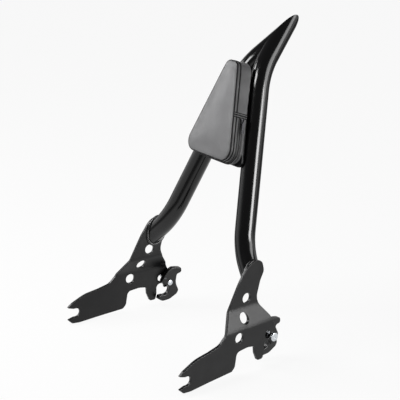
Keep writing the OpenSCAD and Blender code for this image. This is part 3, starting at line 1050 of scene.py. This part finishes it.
@dataclass
class Latches:
    """The hooked lever of each rear seat, with its pivot, spacer, spring and stop pin.

    gap lies between plate and lever. The spring's coil stands coil_seat clear of the spacer's
    side, and its leg runs through the window, leg_clear from its rim.
    """

    plates: SidePlates
    gap: float = 3.0
    lever_t: float = 9.0
    lever_edge: float = 1.3
    lever_bore_r: float = 4.05
    head_r: float = 6.85
    head_h: float = 3.4
    head_round: float = 0.9
    hook: tuple[float, float] = (-11.0, -11.0)
    hook_r: float = 9.1
    spring_r: float = 6.1
    wire_r: float = 0.65
    leg_angle: float = -4.0
    leg_clear: float = 0.1
    leg_end: float = 2.5
    coil_gap: float = 0.12
    coil_seat: float = 0.02

    def lever_outline(self) -> Array:
        """Outline about the pivot, against the clock, with the hook's round mouth.

        Returns:
            Closed loop (n, 2).
        """
        rows = [(-15.4, 5.5, 3), (-10, 14, 8), (-2.5, 22, 6), (5, 25.6, 6), (13, 24.8, 8),
                (22.3, 22.6, 3.5), (22.6, 14.5, 4), (13.6, 12.6, 4), (11.4, 0, 14), (12.4, -6, 8),
                (16.6, -16.5, 5), (13, -22.5, 8), (-1, -29.7, 14), (-14.5, -30.6, 8),
                (-23.2, -25, 1.6), (-20.7, -19.5, 1)]
        mouth = arc(self.hook, self.hook_r, -112, 80, 30).tolist()
        return rounded(rows + mouth + [(-13.2, 0.4, 2)])[::-1]

    def placer(self, side: Side, start: float) -> Callable[[Array, Array], Array]:
        """Maps points about the pivot, and height from a start, to the part's frame.

        Args:
            side: which half of the bar.
            start: height of depth nought.

        Returns:
            A function from points (n, 2) and depths (n) to points (n, 3).
        """
        px, py = self.plates.pivot

        def place(flat: Array, depth: Array) -> Array:
            """Moves to the pivot and out along it."""
            return PLATES.place(side, px + flat[:, 0], py + flat[:, 1], start + depth)

        return place

    def solid(self, side: Side, mesh: Mesh) -> Mesh:
        """A mesh drawn about the pivot, z outboard, moved to its side.

        Args:
            side: which half of the bar.
            mesh: points (n, 3) and faces.

        Returns:
            Points in the part's frame and the same faces.
        """
        points, faces = mesh
        return self.placer(side, 0.0)(points[:, :2], points[:, 2]), faces

    def lever(self, side: Side) -> Mesh:
        """Thick cast lever with well rounded edges."""
        return CutSheet(self.lever_outline(), [(0, 0, self.lever_bore_r)], self.lever_t,
                        self.lever_edge, self.placer(side, -self.gap - self.lever_t),
                        spacing=1.6, edge_steps=5).mesh()

    def rivet(self) -> Mesh:
        """Domed outer head with a dimple, shank and the spread inner end, as one turned profile.

        Returns:
            Points about the pivot, z outboard, and faces.
        """
        inner, outer = -self.gap - self.lever_t, self.plates.thickness
        top, e, shank = outer + self.head_h, self.head_round, self.plates.pivot_r
        dome = np.radians(np.linspace(90, 0, 9))
        edge = np.stack([self.head_r - e + e * np.cos(dome), top - e + e * np.sin(dome)], -1)
        dimple = [[0, top - 0.5], [1.5, top - 0.5], [2.1, top]]
        under = [[self.head_r, outer + 0.3], [self.head_r - 0.3, outer], [shank, outer]]
        spread = [[shank, inner - 0.2], [4.6, inner - 0.25], [4.6, inner - 0.6],
                  [3.7, inner - 1.2], [0, inner - 1.2]]
        return turned(np.vstack([dimple, edge, under, spread]))

    def spring(self) -> Mesh:
        """One coil of wire and a leg that hooks into the window, as one path.

        The coil is a helix whose pitch is the wire and a hair, and the wire leaves it along
        its tangent.

        Returns:
            Points about the pivot, z outboard, and faces.
        """
        plates = self.plates
        tip = (plates.around_pivot(plates.stop_r, plates.window_angle)
               + plates.around_pivot(plates.window_r - self.wire_r - self.leg_clear, self.leg_angle))
        pitch, low = 2 * self.wire_r + self.coil_gap, -self.gap + self.wire_r + self.coil_seat
        away = math.atan2(tip[1], tip[0]) - math.acos(self.spring_r / np.linalg.norm(tip))
        t = np.linspace(away - FULL_TURN, away, 90)
        coil = np.stack([self.spring_r * np.cos(t), self.spring_r * np.sin(t),
                         low + pitch * np.linspace(0, 1, 90)], -1)
        top = low + pitch
        leg = unit(tip - coil[-1, :2])
        bend = [[*(tip - 1.2 * leg), top], [*(tip - 0.35 * leg), top + 0.35], [*tip, top + 1.2],
                [*tip, self.leg_end]]
        path = resample(np.vstack([coil, bend]), 150)
        return carried(path, circle(self.wire_r, 10), np.array([*(0.3 * leg), 1.0]))

    def build(self) -> None:
        """Both latches."""
        for side in Side:
            word = side.word
            piece(f"{word}_lever", self.lever(side), LEVER_COAT, f"{word}_latch",
                  [f"{word}_latch_lever"], sharp=50, weighted=True)
            piece(f"{word}_rivet", self.solid(side, self.rivet()), ZINC, "bar",
                  [f"{word}_latch_pivot"], sharp=35)
            piece(f"{word}_torsion_spring", self.solid(side, self.spring()), WIRE, "bar",
                  [f"{word}_latch_spring"], sharp=60)
            dress(f"{word}_latch_spacer", ZINC)
            dress(f"{word}_stop_pin", PIN_STEEL)


@dataclass(frozen=True)
class PadFrame:
    """Where the pad hangs: x left, y up the tubes from its lower edge, z forward of them.

    The lower edge lies low beyond the tubes' lower bend, along their rake.
    """

    origin: tuple[float, float, float] = (0.0, *LOW_BEND[1:])
    rake: float = math.atan((HIGH_BEND[1] - LOW_BEND[1]) / (HIGH_BEND[2] - LOW_BEND[2]))
    low: float = 119.0

    def place(self, x: Array, y: Array, z: Array) -> Array:
        """Points in the part's frame.

        Args:
            x: distances to the left.
            y: heights up the tubes.
            z: distances forward of the tubes.

        Returns:
            Points with one more axis for x, y and z.
        """
        up = np.array([0, math.sin(self.rake), math.cos(self.rake)])
        ahead = np.array([0, -math.cos(self.rake), math.sin(self.rake)])
        return (np.asarray(self.origin) + np.asarray(x)[..., None] * [1, 0, 0]
                + (self.low + np.asarray(y))[..., None] * up + np.asarray(z)[..., None] * ahead)

    def turn(self, v: Array) -> Array:
        """Directions in the part's frame."""
        return self.place(v[..., 0], v[..., 1], v[..., 2]) - self.place(*np.zeros((3, 1)))


PAD = PadFrame()


@dataclass
class Pad:
    """The zipped leather pad, its carrier plate and its fixings.

    half and top_half are half the widths of the back at the bottom and the top, and the front
    edge stands out by flare and top_flare there. The front rises by its crown over crown_run
    and is free to move after edge_run. Each welt is its distance back from the front
    edge and its radius. Sizes that begin with seam are of the seams across the gusset.
    """

    height: float = 149.0
    half: float = 58.5
    top_half: float = 11.8
    corner: float = 17.0
    top_corner: float = 11.0
    tube_r: float = TUBE_R
    carrier_t: float = 4.5
    carrier_edge: float = 0.6
    depth: float = 24.0
    flare: float = 4.0
    top_flare: float = 8.5
    crown: float = 4.6
    crown_run: float = 30.0
    edge_run: float = 6.0
    gusset_give: float = 0.25
    fill_cap: float = 0.6
    welts: tuple[tuple[float, float], ...] = ((1.6, 1.3), (6.6, 1.1))
    zip_end: float = 70.0
    zip_back: float = 9.0
    tape_w: float = 9.0
    tape_t: float = 0.9
    coil_w: float = 3.5
    coil_pitch: float = 1.5
    coil_wire_r: float = 0.36
    slider_below: float = 7.0
    slider_t: float = 2.6
    tab_t: float = 1.1
    seam_above: float = 2.0
    seam_half: float = 1.7
    lap_r: float = 0.9
    # Radius of the dark cords painted as the grooves' shade.
    groove_shade_r: float = 0.8
    screws: tuple[float, float] = (36.0, 96.0)
    ring: int = 240
    hide: BVHTree = field(init=False, repr=False)

    @property
    def back(self) -> float:
        """Distance of the pad's back from the plane of the tubes."""
        return self.tube_r + self.carrier_t

    def loop(self, grow: float) -> Array:
        """Outline grown on every side, with even and matching points.

        Args:
            grow: distance, at the pad's lower edge.

        Returns:
            Closed loop (ring, 2), whose points match those of any other growth.
        """
        top = grow * self.top_flare / self.flare
        rows = [(-self.half - grow, -grow, self.corner + grow),
                (self.half + grow, -grow, self.corner + grow),
                (self.top_half + top, self.height + 0.5 * grow, self.top_corner + top),
                (-self.top_half - top, self.height + 0.5 * grow, self.top_corner + top)]
        return resample(rounded(rows, 24), self.ring, closed=True)

    def gusset_loop(self, z: float | Array) -> Array:
        """Outline at a depth: the gusset tapers from the back edge to the piping.

        Args:
            z: distance forward of the tubes.

        Returns:
            Closed loop (ring, 2).
        """
        share = np.clip((self.back + self.depth - z) / self.depth, 0, 1)
        return self.loop(0.0) * (1 - share) + self.loop(self.flare) * share

    def on_gusset(self, z: float, proud: float) -> tuple[Array, Array]:
        """A closed line on the filled cover's gusset, with its outward directions.

        Args:
            z: depth of the line.
            proud: distance from the leather.

        Returns:
            Points and directions. Each point lies where a ray from outside meets the leather,
            evened out over five neighbours, and then as far out as asked.
        """
        loop = self.gusset_loop(z)
        span = unit(np.roll(loop, -1, 0) - np.roll(loop, 1, 0))
        line = PAD.place(loop[:, 0], loop[:, 1], np.full(len(loop), z))
        out = PAD.turn(np.stack([span[:, 1], -span[:, 0], 0 * span[:, 0]], -1))
        outside = 12.0
        hits = [self.hide.ray_cast(Vector((p + outside * o) * MM), Vector(-o))[3]
                for p, o in zip(line, out)]
        swell = np.array([0.0 if hit is None else outside - hit / MM for hit in hits])
        swell = np.mean([np.roll(swell, k) for k in range(-2, 3)], 0)
        return line + out * (swell + proud)[:, None], out

    def shell(self) -> tuple[Array, list, Array]:
        """Even mesh of the cover before it is filled, and how far each point may move.

        Front and back panels are triangles through a grid of points, and the gusset is the
        outline carried from back to front. The front starts with half its crown: that height
        times one less the cube of what is left of the way in from the edge. A point of the
        front is free in step with its distance from the seam, and one of the gusset as the
        sine of its way from back to front.

        Returns:
            Points in the pad's frame, faces, and the free share of each point.
        """
        rows = 9
        z = np.linspace(self.back, self.back + self.depth, rows)
        side = [self.gusset_loop(level) for level in z]
        gusset = np.vstack([np.column_stack([s, np.full(len(s), level)])
                            for s, level in zip(side, z)])
        parts = [(gusset, grid_faces(rows, self.ring))]
        sheet = CutSheet(side[-1], [], 1.0, 0.1, lambda p, d: p, spacing=4.2)
        for edge, level in ((side[0], z[0]), (side[-1], z[-1])):
            flat, faces = sheet.face([edge])
            parts.append((np.column_stack([flat, np.full(len(flat), level)]), faces))
        points, faces = joined(parts)
        edge = np.linalg.norm(points[:, None, :2] - side[-1][None], axis=2).min(1)
        front = points[:, 2] > z[-1] - 0.01
        inner = np.clip(edge / self.crown_run, 0, 1)
        points[:, 2] += np.where(front, 0.5 * self.crown * (1 - (1 - inner) ** 3), 0.0)
        way = np.clip((points[:, 2] - z[0]) / self.depth, 0, 1)
        free = np.where(front, np.clip(edge / self.edge_run, 0, 1),
                        np.sin(math.pi * way) * self.gusset_give)
        free[points[:, 2] < z[0] + 0.01] = 0
        return points, faces, free

    def fill(self, cover: bpy.types.Object, free: Array) -> None:
        """Fills the cover with Blender's cloth, and keeps what the seams allow.

        Args:
            cover: the pad's skin, before it is filled.
            free: share of the movement that each point keeps.
        """
        rest = coordinates(cover.data)
        held = cover.vertex_groups.new(name="held_by_seams")
        held.add(np.flatnonzero(np.round(1 - free, 1) > 0.95).tolist(), 1.0, "REPLACE")
        cloth = cover.modifiers.new("filling", "CLOTH")
        cloth.settings.vertex_group_mass = held.name
        cloth.settings.use_pressure = True
        cloth.settings.uniform_pressure_force = 4.0
        cloth.settings.quality = 6
        cloth.settings.tension_stiffness = 25
        cloth.settings.compression_stiffness = 25
        cloth.settings.bending_stiffness = 2.0
        cloth.settings.effector_weights.gravity = 0.0
        cloth.collision_settings.use_collision = False
        for step in range(1, 21):
            bpy.context.scene.frame_set(step)
        posed = cover.evaluated_get(bpy.context.evaluated_depsgraph_get())
        shift = coordinates(posed.to_mesh()) - rest
        posed.to_mesh_clear()
        cover.modifiers.remove(cloth)
        bpy.context.scene.frame_set(1)
        largest = np.linalg.norm(shift, axis=1).max()
        LOG.info("filling moved the cover by up to %.1f mm before its cap", largest / MM)
        shift *= (free * self.fill_cap * self.crown * MM / max(largest, 1e-9))[:, None]
        cover.data.vertices.foreach_set("co", (rest + shift).ravel())
        cover.vertex_groups.clear()
        cover.data.update()

    def cover(self) -> None:
        """The filled leather cover, whose skin then carries the seams and the zip."""
        points, faces, free = self.shell()
        placed = PAD.place(points[:, 0], points[:, 1], points[:, 2])
        made = piece("pad_leather", (placed, faces), LEATHER, "bar",
                     ["pad_cover", "pad_foam"], sharp=55)
        gap = coordinates(made.data)[:, None] - placed[None] * MM
        self.fill(made, free[np.linalg.norm(gap, axis=2).argmin(1)])
        soft = made.modifiers.new("soft", "SUBSURF")
        soft.levels = soft.render_levels = 1
        bpy.context.view_layer.update()
        self.hide = BVHTree.FromObject(made, bpy.context.evaluated_depsgraph_get())

    def stitches(self, line: Array, out: Array, pitch: float = 3.2, half: float = 0.32) -> Mesh:
        """Thread stitches along an open line: one short capsule for each pitch.

        A capsule's length follows the cosine of one angle and its width the sine.

        Args:
            line: points of the seam.
            out: outward direction at each point.
            pitch: length of a stitch and its gap.
            half: half the thread's width.

        Returns:
            Points and faces of all stitches.
        """
        length = np.linalg.norm(np.diff(line, axis=0), axis=1).sum()
        count = max(2, int(length / pitch))
        spots = resample(np.hstack([line, out]), count * 2 + 1)[1::2]
        centre, lift = spots[:, :3], unit(spots[:, 3:])
        along = unit(np.gradient(centre, axis=0))
        across = np.cross(along, lift)
        rows, cols = 7, 8
        t, a = np.meshgrid(np.linspace(0, math.pi, rows), np.linspace(0, FULL_TURN, cols, False),
                           indexing="ij")
        local = np.stack([-np.cos(t) * 0.36 * pitch, half * np.sin(t) * np.cos(a),
                          0.8 * half * np.sin(t) * np.sin(a)], -1).reshape(1, -1, 3)
        grid = (centre[:, None] + local[..., :1] * along[:, None]
                + local[..., 1:2] * across[:, None] + local[..., 2:] * lift[:, None])
        first = (np.arange(len(spots)) * rows * cols)[:, None, None]
        return grid.reshape(-1, 3), (grid_faces(rows, cols) + first).reshape(-1, 4)

    def zip_run(self, z: float, proud: float) -> tuple[Array, Array]:
        """The open stretch of a gusset line below the zip's end, with its outward directions.

        Args:
            z: depth of the line.
            proud: distance from the leather.

        Returns:
            Points and directions, from one end of the zip round the bottom to the other.
        """
        line, out = self.on_gusset(z, proud)
        below = self.gusset_loop(z)[:, 1] < self.zip_end
        start = int(np.argmax(below & ~np.roll(below, 1)))
        chosen = np.roll(np.arange(len(below)), -start)[:int(below.sum())]
        return line[chosen], out[chosen]

    def piping(self) -> None:
        """Welt cord in the front edge, with a slimmer one behind it, sunk by a tenth."""
        parts = []
        for back, r in self.welts:
            line, out = self.on_gusset(self.back + self.depth - back, -0.1 * r)
            parts.append(carried(line, circle(r, 14), out, closed=True))
        # The welt's near-black is the hide's own colour and also painted shade along the piping.
        piece("pad_welt", joined(parts), WELT_AND_GROOVE_SHADE, "bar", ["pad_piping"], sharp=60)

    def zip(self) -> None:
        """Tape, coil and stitching of the zip. The coil is a flattened helix on the tape."""
        z = self.back + self.zip_back
        line, out = self.zip_run(z, self.tape_t / 2)
        tape = carried(line, slab(self.tape_w, self.tape_t, 0.3), out)
        piece("zip_tape", tape, TAPE, "bar", ["pad_zip_tape"], sharp=50)
        fine = resample(np.hstack([line, out]), 2600)
        path, lift = fine[:, :3], unit(fine[:, 3:])
        along, across, _ = frames_along(path, lift)
        length = np.r_[0, np.cumsum(np.linalg.norm(np.diff(path, axis=0), axis=1))]
        turn = FULL_TURN * length / self.coil_pitch
        coil = (path + lift * (1.0 + 0.45 * np.cos(turn))[:, None]
                + across * (self.coil_w / 2 * np.sin(turn))[:, None])
        piece("zip_coil", carried(coil, circle(self.coil_wire_r, 6), along), COIL, "bar",
              ["pad_zip_teeth"], sharp=80)
        beside = self.tape_w / 2 + 1.1
        seams = [self.stitches(*self.zip_run(z + off, 0.1)) for off in (-beside, beside)]
        # The stitches' pale grey is a painted highlight.
        piece("zip_stitching", joined(seams), THREAD_PAINTED_HIGHLIGHT, "bar", sharp=80)

    def nearest(self, z: float, y: float, hand: int, proud: float) -> tuple[Array, Array, Array]:
        """The point of a gusset line that lies nearest to a height, on one hand of the pad.

        Args:
            z: depth of the line.
            y: height on the pad.
            hand: 1 for the left and -1 for the right.
            proud: distance from the leather.

        Returns:
            The point, its outward direction and the line's direction up the pad.
        """
        line, out = self.on_gusset(z, proud)
        flat = self.gusset_loop(z)
        spot = int(np.argmin(np.where(flat[:, 0] * hand > 0, np.abs(flat[:, 1] - y), np.inf)))
        along = unit(line[(spot + 1) % len(line)] - line[spot - 1])
        return line[spot], out[spot], along * np.sign(along[2])

    def at_zip_end(self, points: Array) -> Array:
        """Points drawn out, up and across the left gusset, moved to the top of the zip."""
        spot, out, along = self.nearest(self.back + self.zip_back,
                                        self.zip_end - self.slider_below, 1, 0.0)
        return spot + points @ np.stack([out, along, np.cross(out, along)])

    def slider(self) -> None:
        """Waisted slider body with its bridge, and the tab that hangs from it."""
        body = rounded([(-3.2, -5, 1.5), (3.2, -5, 1.5), (2.3, 0, 3), (3.6, 5, 1.5), (-3.6, 5, 1.5),
                        (-2.3, 0, 3)], 6)
        sheet = CutSheet(body, [], self.slider_t, 0.7,
                         lambda p, d: np.column_stack([1.6 + d, p[:, 1], p[:, 0]]), spacing=1.5)
        points, faces = sheet.mesh()
        t = np.linspace(0, math.pi, 20)
        bridge = np.stack([3.9 + 1.6 * np.sin(t), -3.4 * np.cos(t), 0 * t], -1)
        loop = carried(bridge, slab(1.7, 0.8, 0.25), np.array([0.0, 0.0, 1.0]))
        parts = joined([(self.at_zip_end(points), faces), (self.at_zip_end(loop[0]), loop[1])])
        piece("zip_slider", parts, ZIP_METAL, "bar", ["pad_zip_slider"], sharp=45,
              weighted=True)
        tab = rounded([(-2.3, -19, 2.2), (2.3, -19, 2.2), (1.7, 0, 1.6), (-1.7, 0, 1.6)], 6)
        lean = 0.04
        sheet = CutSheet(tab, [(0, -15, 1.1)], self.tab_t, 0.4,
                         lambda p, d: np.column_stack([4.4 + d - lean * p[:, 1], p[:, 1], p[:, 0]]),
                         spacing=1.5)
        points, faces = sheet.mesh()
        piece("zip_tab", (self.at_zip_end(points), faces), ZIP_METAL, "bar",
              ["pad_zip_pull"], sharp=45, weighted=True)

    def cross_seams(self) -> None:
        """Lapped seam across each gusset above the zip, with two rows of stitches.

        Each row stands on a padded strip. Beside and between the strips lie dark cords, painted shade
        that stands in for the grooves' shade.
        """
        strips, groove_shade_cords, rows = [], [], []
        depths = np.linspace(self.back + 0.6, self.back + self.depth - 1.2, 24)
        for hand in (1, -1):
            spots = [self.nearest(z, self.zip_end + self.seam_above, hand, 0.25)[:2] for z in depths]
            line, out = np.stack(spots, 1)
            _, across, _ = frames_along(line, out)
            for off in (-self.seam_half, self.seam_half):
                row = line + across * off
                strips.append(carried(row, circle(self.lap_r, 12, 0.8), out))
                rows.append(self.stitches(row + 0.7 * out, out, 2.6, 0.62))
            # Dark cords a little proud of the leather: painted shade of the grooves.
            groove_shade_cords += [carried(line + across * off - 0.15 * out, circle(self.groove_shade_r, 8), out)
                        for off in (-3.3, 0.0, 3.3)]
        piece("gusset_lap", joined(strips), LEATHER, "bar", sharp=60)
        piece("gusset_groove_painted_shade", joined(groove_shade_cords), WELT_AND_GROOVE_SHADE, "bar", sharp=60)
        # The stitches' pale grey is a painted highlight.
        piece("gusset_stitching", joined(rows), THREAD_PAINTED_HIGHLIGHT, "bar", sharp=80)

    def carrier(self) -> None:
        """Welded carrier plate with broken edges, and its screws and washers."""
        outline = rounded([(-self.half - 3, -4, 8), (self.half + 3, -4, 8),
                           (self.top_half + 2, self.height - 4, 8),
                           (-self.top_half - 2, self.height - 4, 8)])
        sheet = CutSheet(outline, [(0, h, 3.3) for h in self.screws], self.carrier_t,
                         self.carrier_edge,
                         lambda p, d: PAD.place(p[:, 0], p[:, 1], self.tube_r + d), spacing=8.0)
        piece("pad_carrier", sheet.mesh(), PLATE_COAT, "bar", ["pad_plate"],
              sharp=50, weighted=True)
        washer_t = 1.5
        profile = np.array([[0, -1.6], [1.9, -1.6], [2.2, -3.3], [4.6, -4.0], [5.2, -3.7],
                            [5.45, -3.1], [5.45, -0.2], [5.2, 0], [3, 0], [3, 13], [0, 13]])
        points, faces = turned(profile, 48)
        z = self.tube_r - washer_t + points[:, 2]
        heads = [(PAD.place(points[:, 0], h + points[:, 1], z), faces) for h in self.screws]
        piece("pad_screw_heads", joined(heads), SCREW_BLACK, "bar", ["pad_screws"])
        dress("pad_plate_welds", WELD_COAT)
        dress("pad_board", PLYWOOD)
        dress("pad_tee_nuts", ZINC)
        dress("pad_screw_washers", SCREW_BLACK)

    def build(self) -> None:
        """The whole pad."""
        self.cover()
        self.piping()
        self.zip()
        self.slider()
        self.cross_seams()
        self.carrier()


# Studio round the object


@dataclass(frozen=True)
class Softbox:
    """A square lamp that looks at its target, away from it along way. Lengths are in metres.

    on_matt and in_gloss say which surfaces it lights, as flags round a real lamp would.
    """

    name: str
    way: tuple[float, float, float]
    away: float
    size: tuple[float, float]
    brightness: float
    on_matt: bool = True
    in_gloss: bool = True
    target: tuple[float, float, float] = (0.0, 0.14, 0.21)

    def build(self) -> None:
        """Adds the lamp: its power is brightness times pi times its area."""
        lamp = bpy.data.lights.new(self.name, "AREA")
        lamp.shape = "RECTANGLE"
        lamp.size, lamp.size_y = self.size
        lamp.energy = self.brightness * math.pi * self.size[0] * self.size[1]
        holder = bpy.data.objects.new(self.name, lamp)
        bpy.context.scene.collection.objects.link(holder)
        way = Vector(self.way).normalized()
        holder.location = Vector(self.target) + way * self.away
        holder.rotation_euler = way.to_track_quat("Z", "Y").to_euler()
        holder.visible_diffuse = self.on_matt
        holder.visible_glossy = self.in_gloss


@dataclass(frozen=True)
class Studio:
    """White floor and surround, soft lamps and the camera. Lengths are in metres."""

    floor_z: float = -0.0186
    floor_middle: float = 0.14
    lens: float = 120.4
    target: tuple[float, float, float] = (0.0, 0.1379, 0.2076)
    away: float = 2.0707
    azimuth: float = math.radians(54.1)
    elevation: float = math.radians(18.19)
    fill_strength: float = 0.36
    room_strength: float = 0.16
    sky_fade: tuple[float, float] = (0.17, 0.42)
    table_fade: tuple[float, float] = (0.45, 1.0)
    glow_share: float = 0.9
    lamps: tuple[Softbox, ...] = (
        Softbox("left_strip", (0.90, 0.34, 0.16), 1.6, (0.6, 1.0), 20.0, on_matt=False),
        Softbox("left_box", (0.66, 0.62, 0.46), 1.5, (0.7, 0.7), 6.0, on_matt=False),
        Softbox("left_fill", (0.66, 0.62, 0.46), 1.5, (0.7, 0.7), 1.2, in_gloss=False),
        Softbox("front_box", (-0.25, -0.54, 0.84), 0.75, (0.3, 0.3), 10.0, in_gloss=False),
        Softbox("right_box", (-0.72, -0.62, 0.44), 1.8, (0.9, 0.6), 7.5, in_gloss=False),
        Softbox("edge_box", (-0.76, -0.46, 0.46), 1.6, (0.8, 0.5), 14.0, on_matt=False),
        Softbox("spear_box", (-0.16, -0.76, 0.62), 0.7, (0.26, 0.2), 18.0, on_matt=False,
                target=(0.0, 0.25, 0.42)),
    )

    def seen(self, tree: bpy.types.NodeTree) -> bpy.types.NodeSocket:
        """One for rays of the camera, of gloss and through glass, and nought for the rest.

        Args:
            tree: tree that the nodes go into.

        Returns:
            A socket of nought or one.
        """
        path = add(tree, "ShaderNodeLightPath")
        gloss = add(tree, "ShaderNodeMath", {0: path.outputs["Is Camera Ray"],
                                             1: path.outputs["Is Glossy Ray"]}, operation="MAXIMUM")
        glass = add(tree, "ShaderNodeMath", {0: gloss.outputs[0],
                                             1: path.outputs["Is Transmission Ray"]},
                    operation="MAXIMUM")
        return glass.outputs[0]

    def faded(self, tree: bpy.types.NodeTree, value: bpy.types.NodeSocket,
              span: tuple[float, float]) -> bpy.types.NodeSocket:
        """White that fades smoothly into the dim room over a span of a value.

        Args:
            tree: tree that the node goes into.
            value: socket of the value.
            span: where the fade begins and ends.

        Returns:
            A socket of strength.
        """
        fade = add(tree, "ShaderNodeMapRange", {
            "Value": value, "From Min": span[0], "From Max": span[1], "To Min": 1.0,
            "To Max": self.room_strength}, interpolation_type="SMOOTHSTEP")
        return fade.outputs["Result"]

    def surround(self) -> None:
        """World: a white sweep to the camera and in gloss, plainer as a light.

        The sweep is white up to 10 degrees over the horizon and fades into the dim room
        above it by 25 degrees, which keeps gloss black as deep as it looks in a studio.
        """
        world = bpy.data.worlds.new("surround")
        bpy.context.scene.world = world
        world.use_nodes = True
        tree = world.node_tree
        tree.nodes.clear()
        plain = add(tree, "ShaderNodeBackground", {"Color": (1, 1, 1, 1),
                                                   "Strength": self.fill_strength})
        way = add(tree, "ShaderNodeTexCoord")
        split = add(tree, "ShaderNodeSeparateXYZ", {0: way.outputs["Generated"]})
        white = add(tree, "ShaderNodeBackground", {
            "Color": (1, 1, 1, 1), "Strength": self.faded(tree, split.outputs["Z"], self.sky_fade)})
        both = add(tree, "ShaderNodeMixShader", {0: self.seen(tree), 1: plain.outputs[0],
                                                 2: white.outputs[0]})
        add(tree, "ShaderNodeOutputWorld", {"Surface": both.outputs[0]})

    def floor(self) -> None:
        """Pale floor disc that turns white towards the camera but keeps shadows.

        In gloss it is a round white table, which fades into the dim room half a metre out.
        """
        cols = 96
        angle = np.linspace(0, FULL_TURN, cols, endpoint=False)
        rings = np.array([0.0, 0.5, 1.2, 6.0])[:, None]
        points = np.stack([rings * np.cos(angle), rings * np.sin(angle) + self.floor_middle,
                           0 * rings * angle + self.floor_z], -1).reshape(-1, 3)
        data = bpy.data.meshes.new("floor")
        data.from_pydata(points.tolist(), [], grid_faces(len(rings), cols)[:, ::-1].tolist())
        made = bpy.data.objects.new("floor", data)
        bpy.context.scene.collection.objects.link(made)
        paint = bpy.data.materials.new("studio_floor")
        paint.use_nodes = True
        tree = paint.node_tree
        tree.nodes.clear()
        matt = add(tree, "ShaderNodeBsdfDiffuse", {"Color": linear("#f7f7f7")})
        place = add(tree, "ShaderNodeTexCoord").outputs["Object"]
        out = add(tree, "ShaderNodeVectorMath", {0: place, 1: (0.0, self.floor_middle, self.floor_z)},
                  operation="DISTANCE")
        eye = add(tree, "ShaderNodeLightPath").outputs["Is Camera Ray"]
        lit = add(tree, "ShaderNodeMath", {
            0: eye, 1: self.faded(tree, out.outputs["Value"], self.table_fade)}, operation="MAXIMUM")
        glow = add(tree, "ShaderNodeEmission", {"Color": (1, 1, 1, 1), "Strength": lit.outputs[0]})
        share = add(tree, "ShaderNodeMath", {0: self.seen(tree), 1: self.glow_share},
                    operation="MULTIPLY")
        both = add(tree, "ShaderNodeMixShader", {0: share.outputs[0], 1: matt.outputs[0],
                                                 2: glow.outputs[0]})
        add(tree, "ShaderNodeOutputMaterial", {"Surface": both.outputs[0]})
        data.materials.append(paint)

    def camera(self) -> None:
        """The photograph's camera."""
        back = Vector((math.sin(self.azimuth) * math.cos(self.elevation),
                       -math.cos(self.azimuth) * math.cos(self.elevation),
                       math.sin(self.elevation)))
        lens = bpy.data.cameras.new("camera")
        lens.lens = self.lens
        lens.sensor_width = 36.0
        holder = bpy.data.objects.new("camera", lens)
        bpy.context.scene.collection.objects.link(holder)
        holder.location = Vector(self.target) + back * self.away
        holder.rotation_euler = back.to_track_quat("Z", "Y").to_euler()
        bpy.context.scene.camera = holder

    def build(self) -> None:
        """Everything but the bar."""
        self.camera()
        self.surround()
        self.floor()
        for lamp in self.lamps:
            lamp.build()
        bpy.context.scene.view_settings.view_transform = "Standard"


def main() -> None:
    """Builds the studio and the bar."""
    logging.basicConfig(level=logging.INFO, format="%(message)s")
    Studio().build()
    Uprights().build()
    plates = SidePlates()
    plates.build()
    Latches(plates).build()
    Pad().build()
    bpy.context.view_layer.update()


if __name__ == "__main__":
    main()
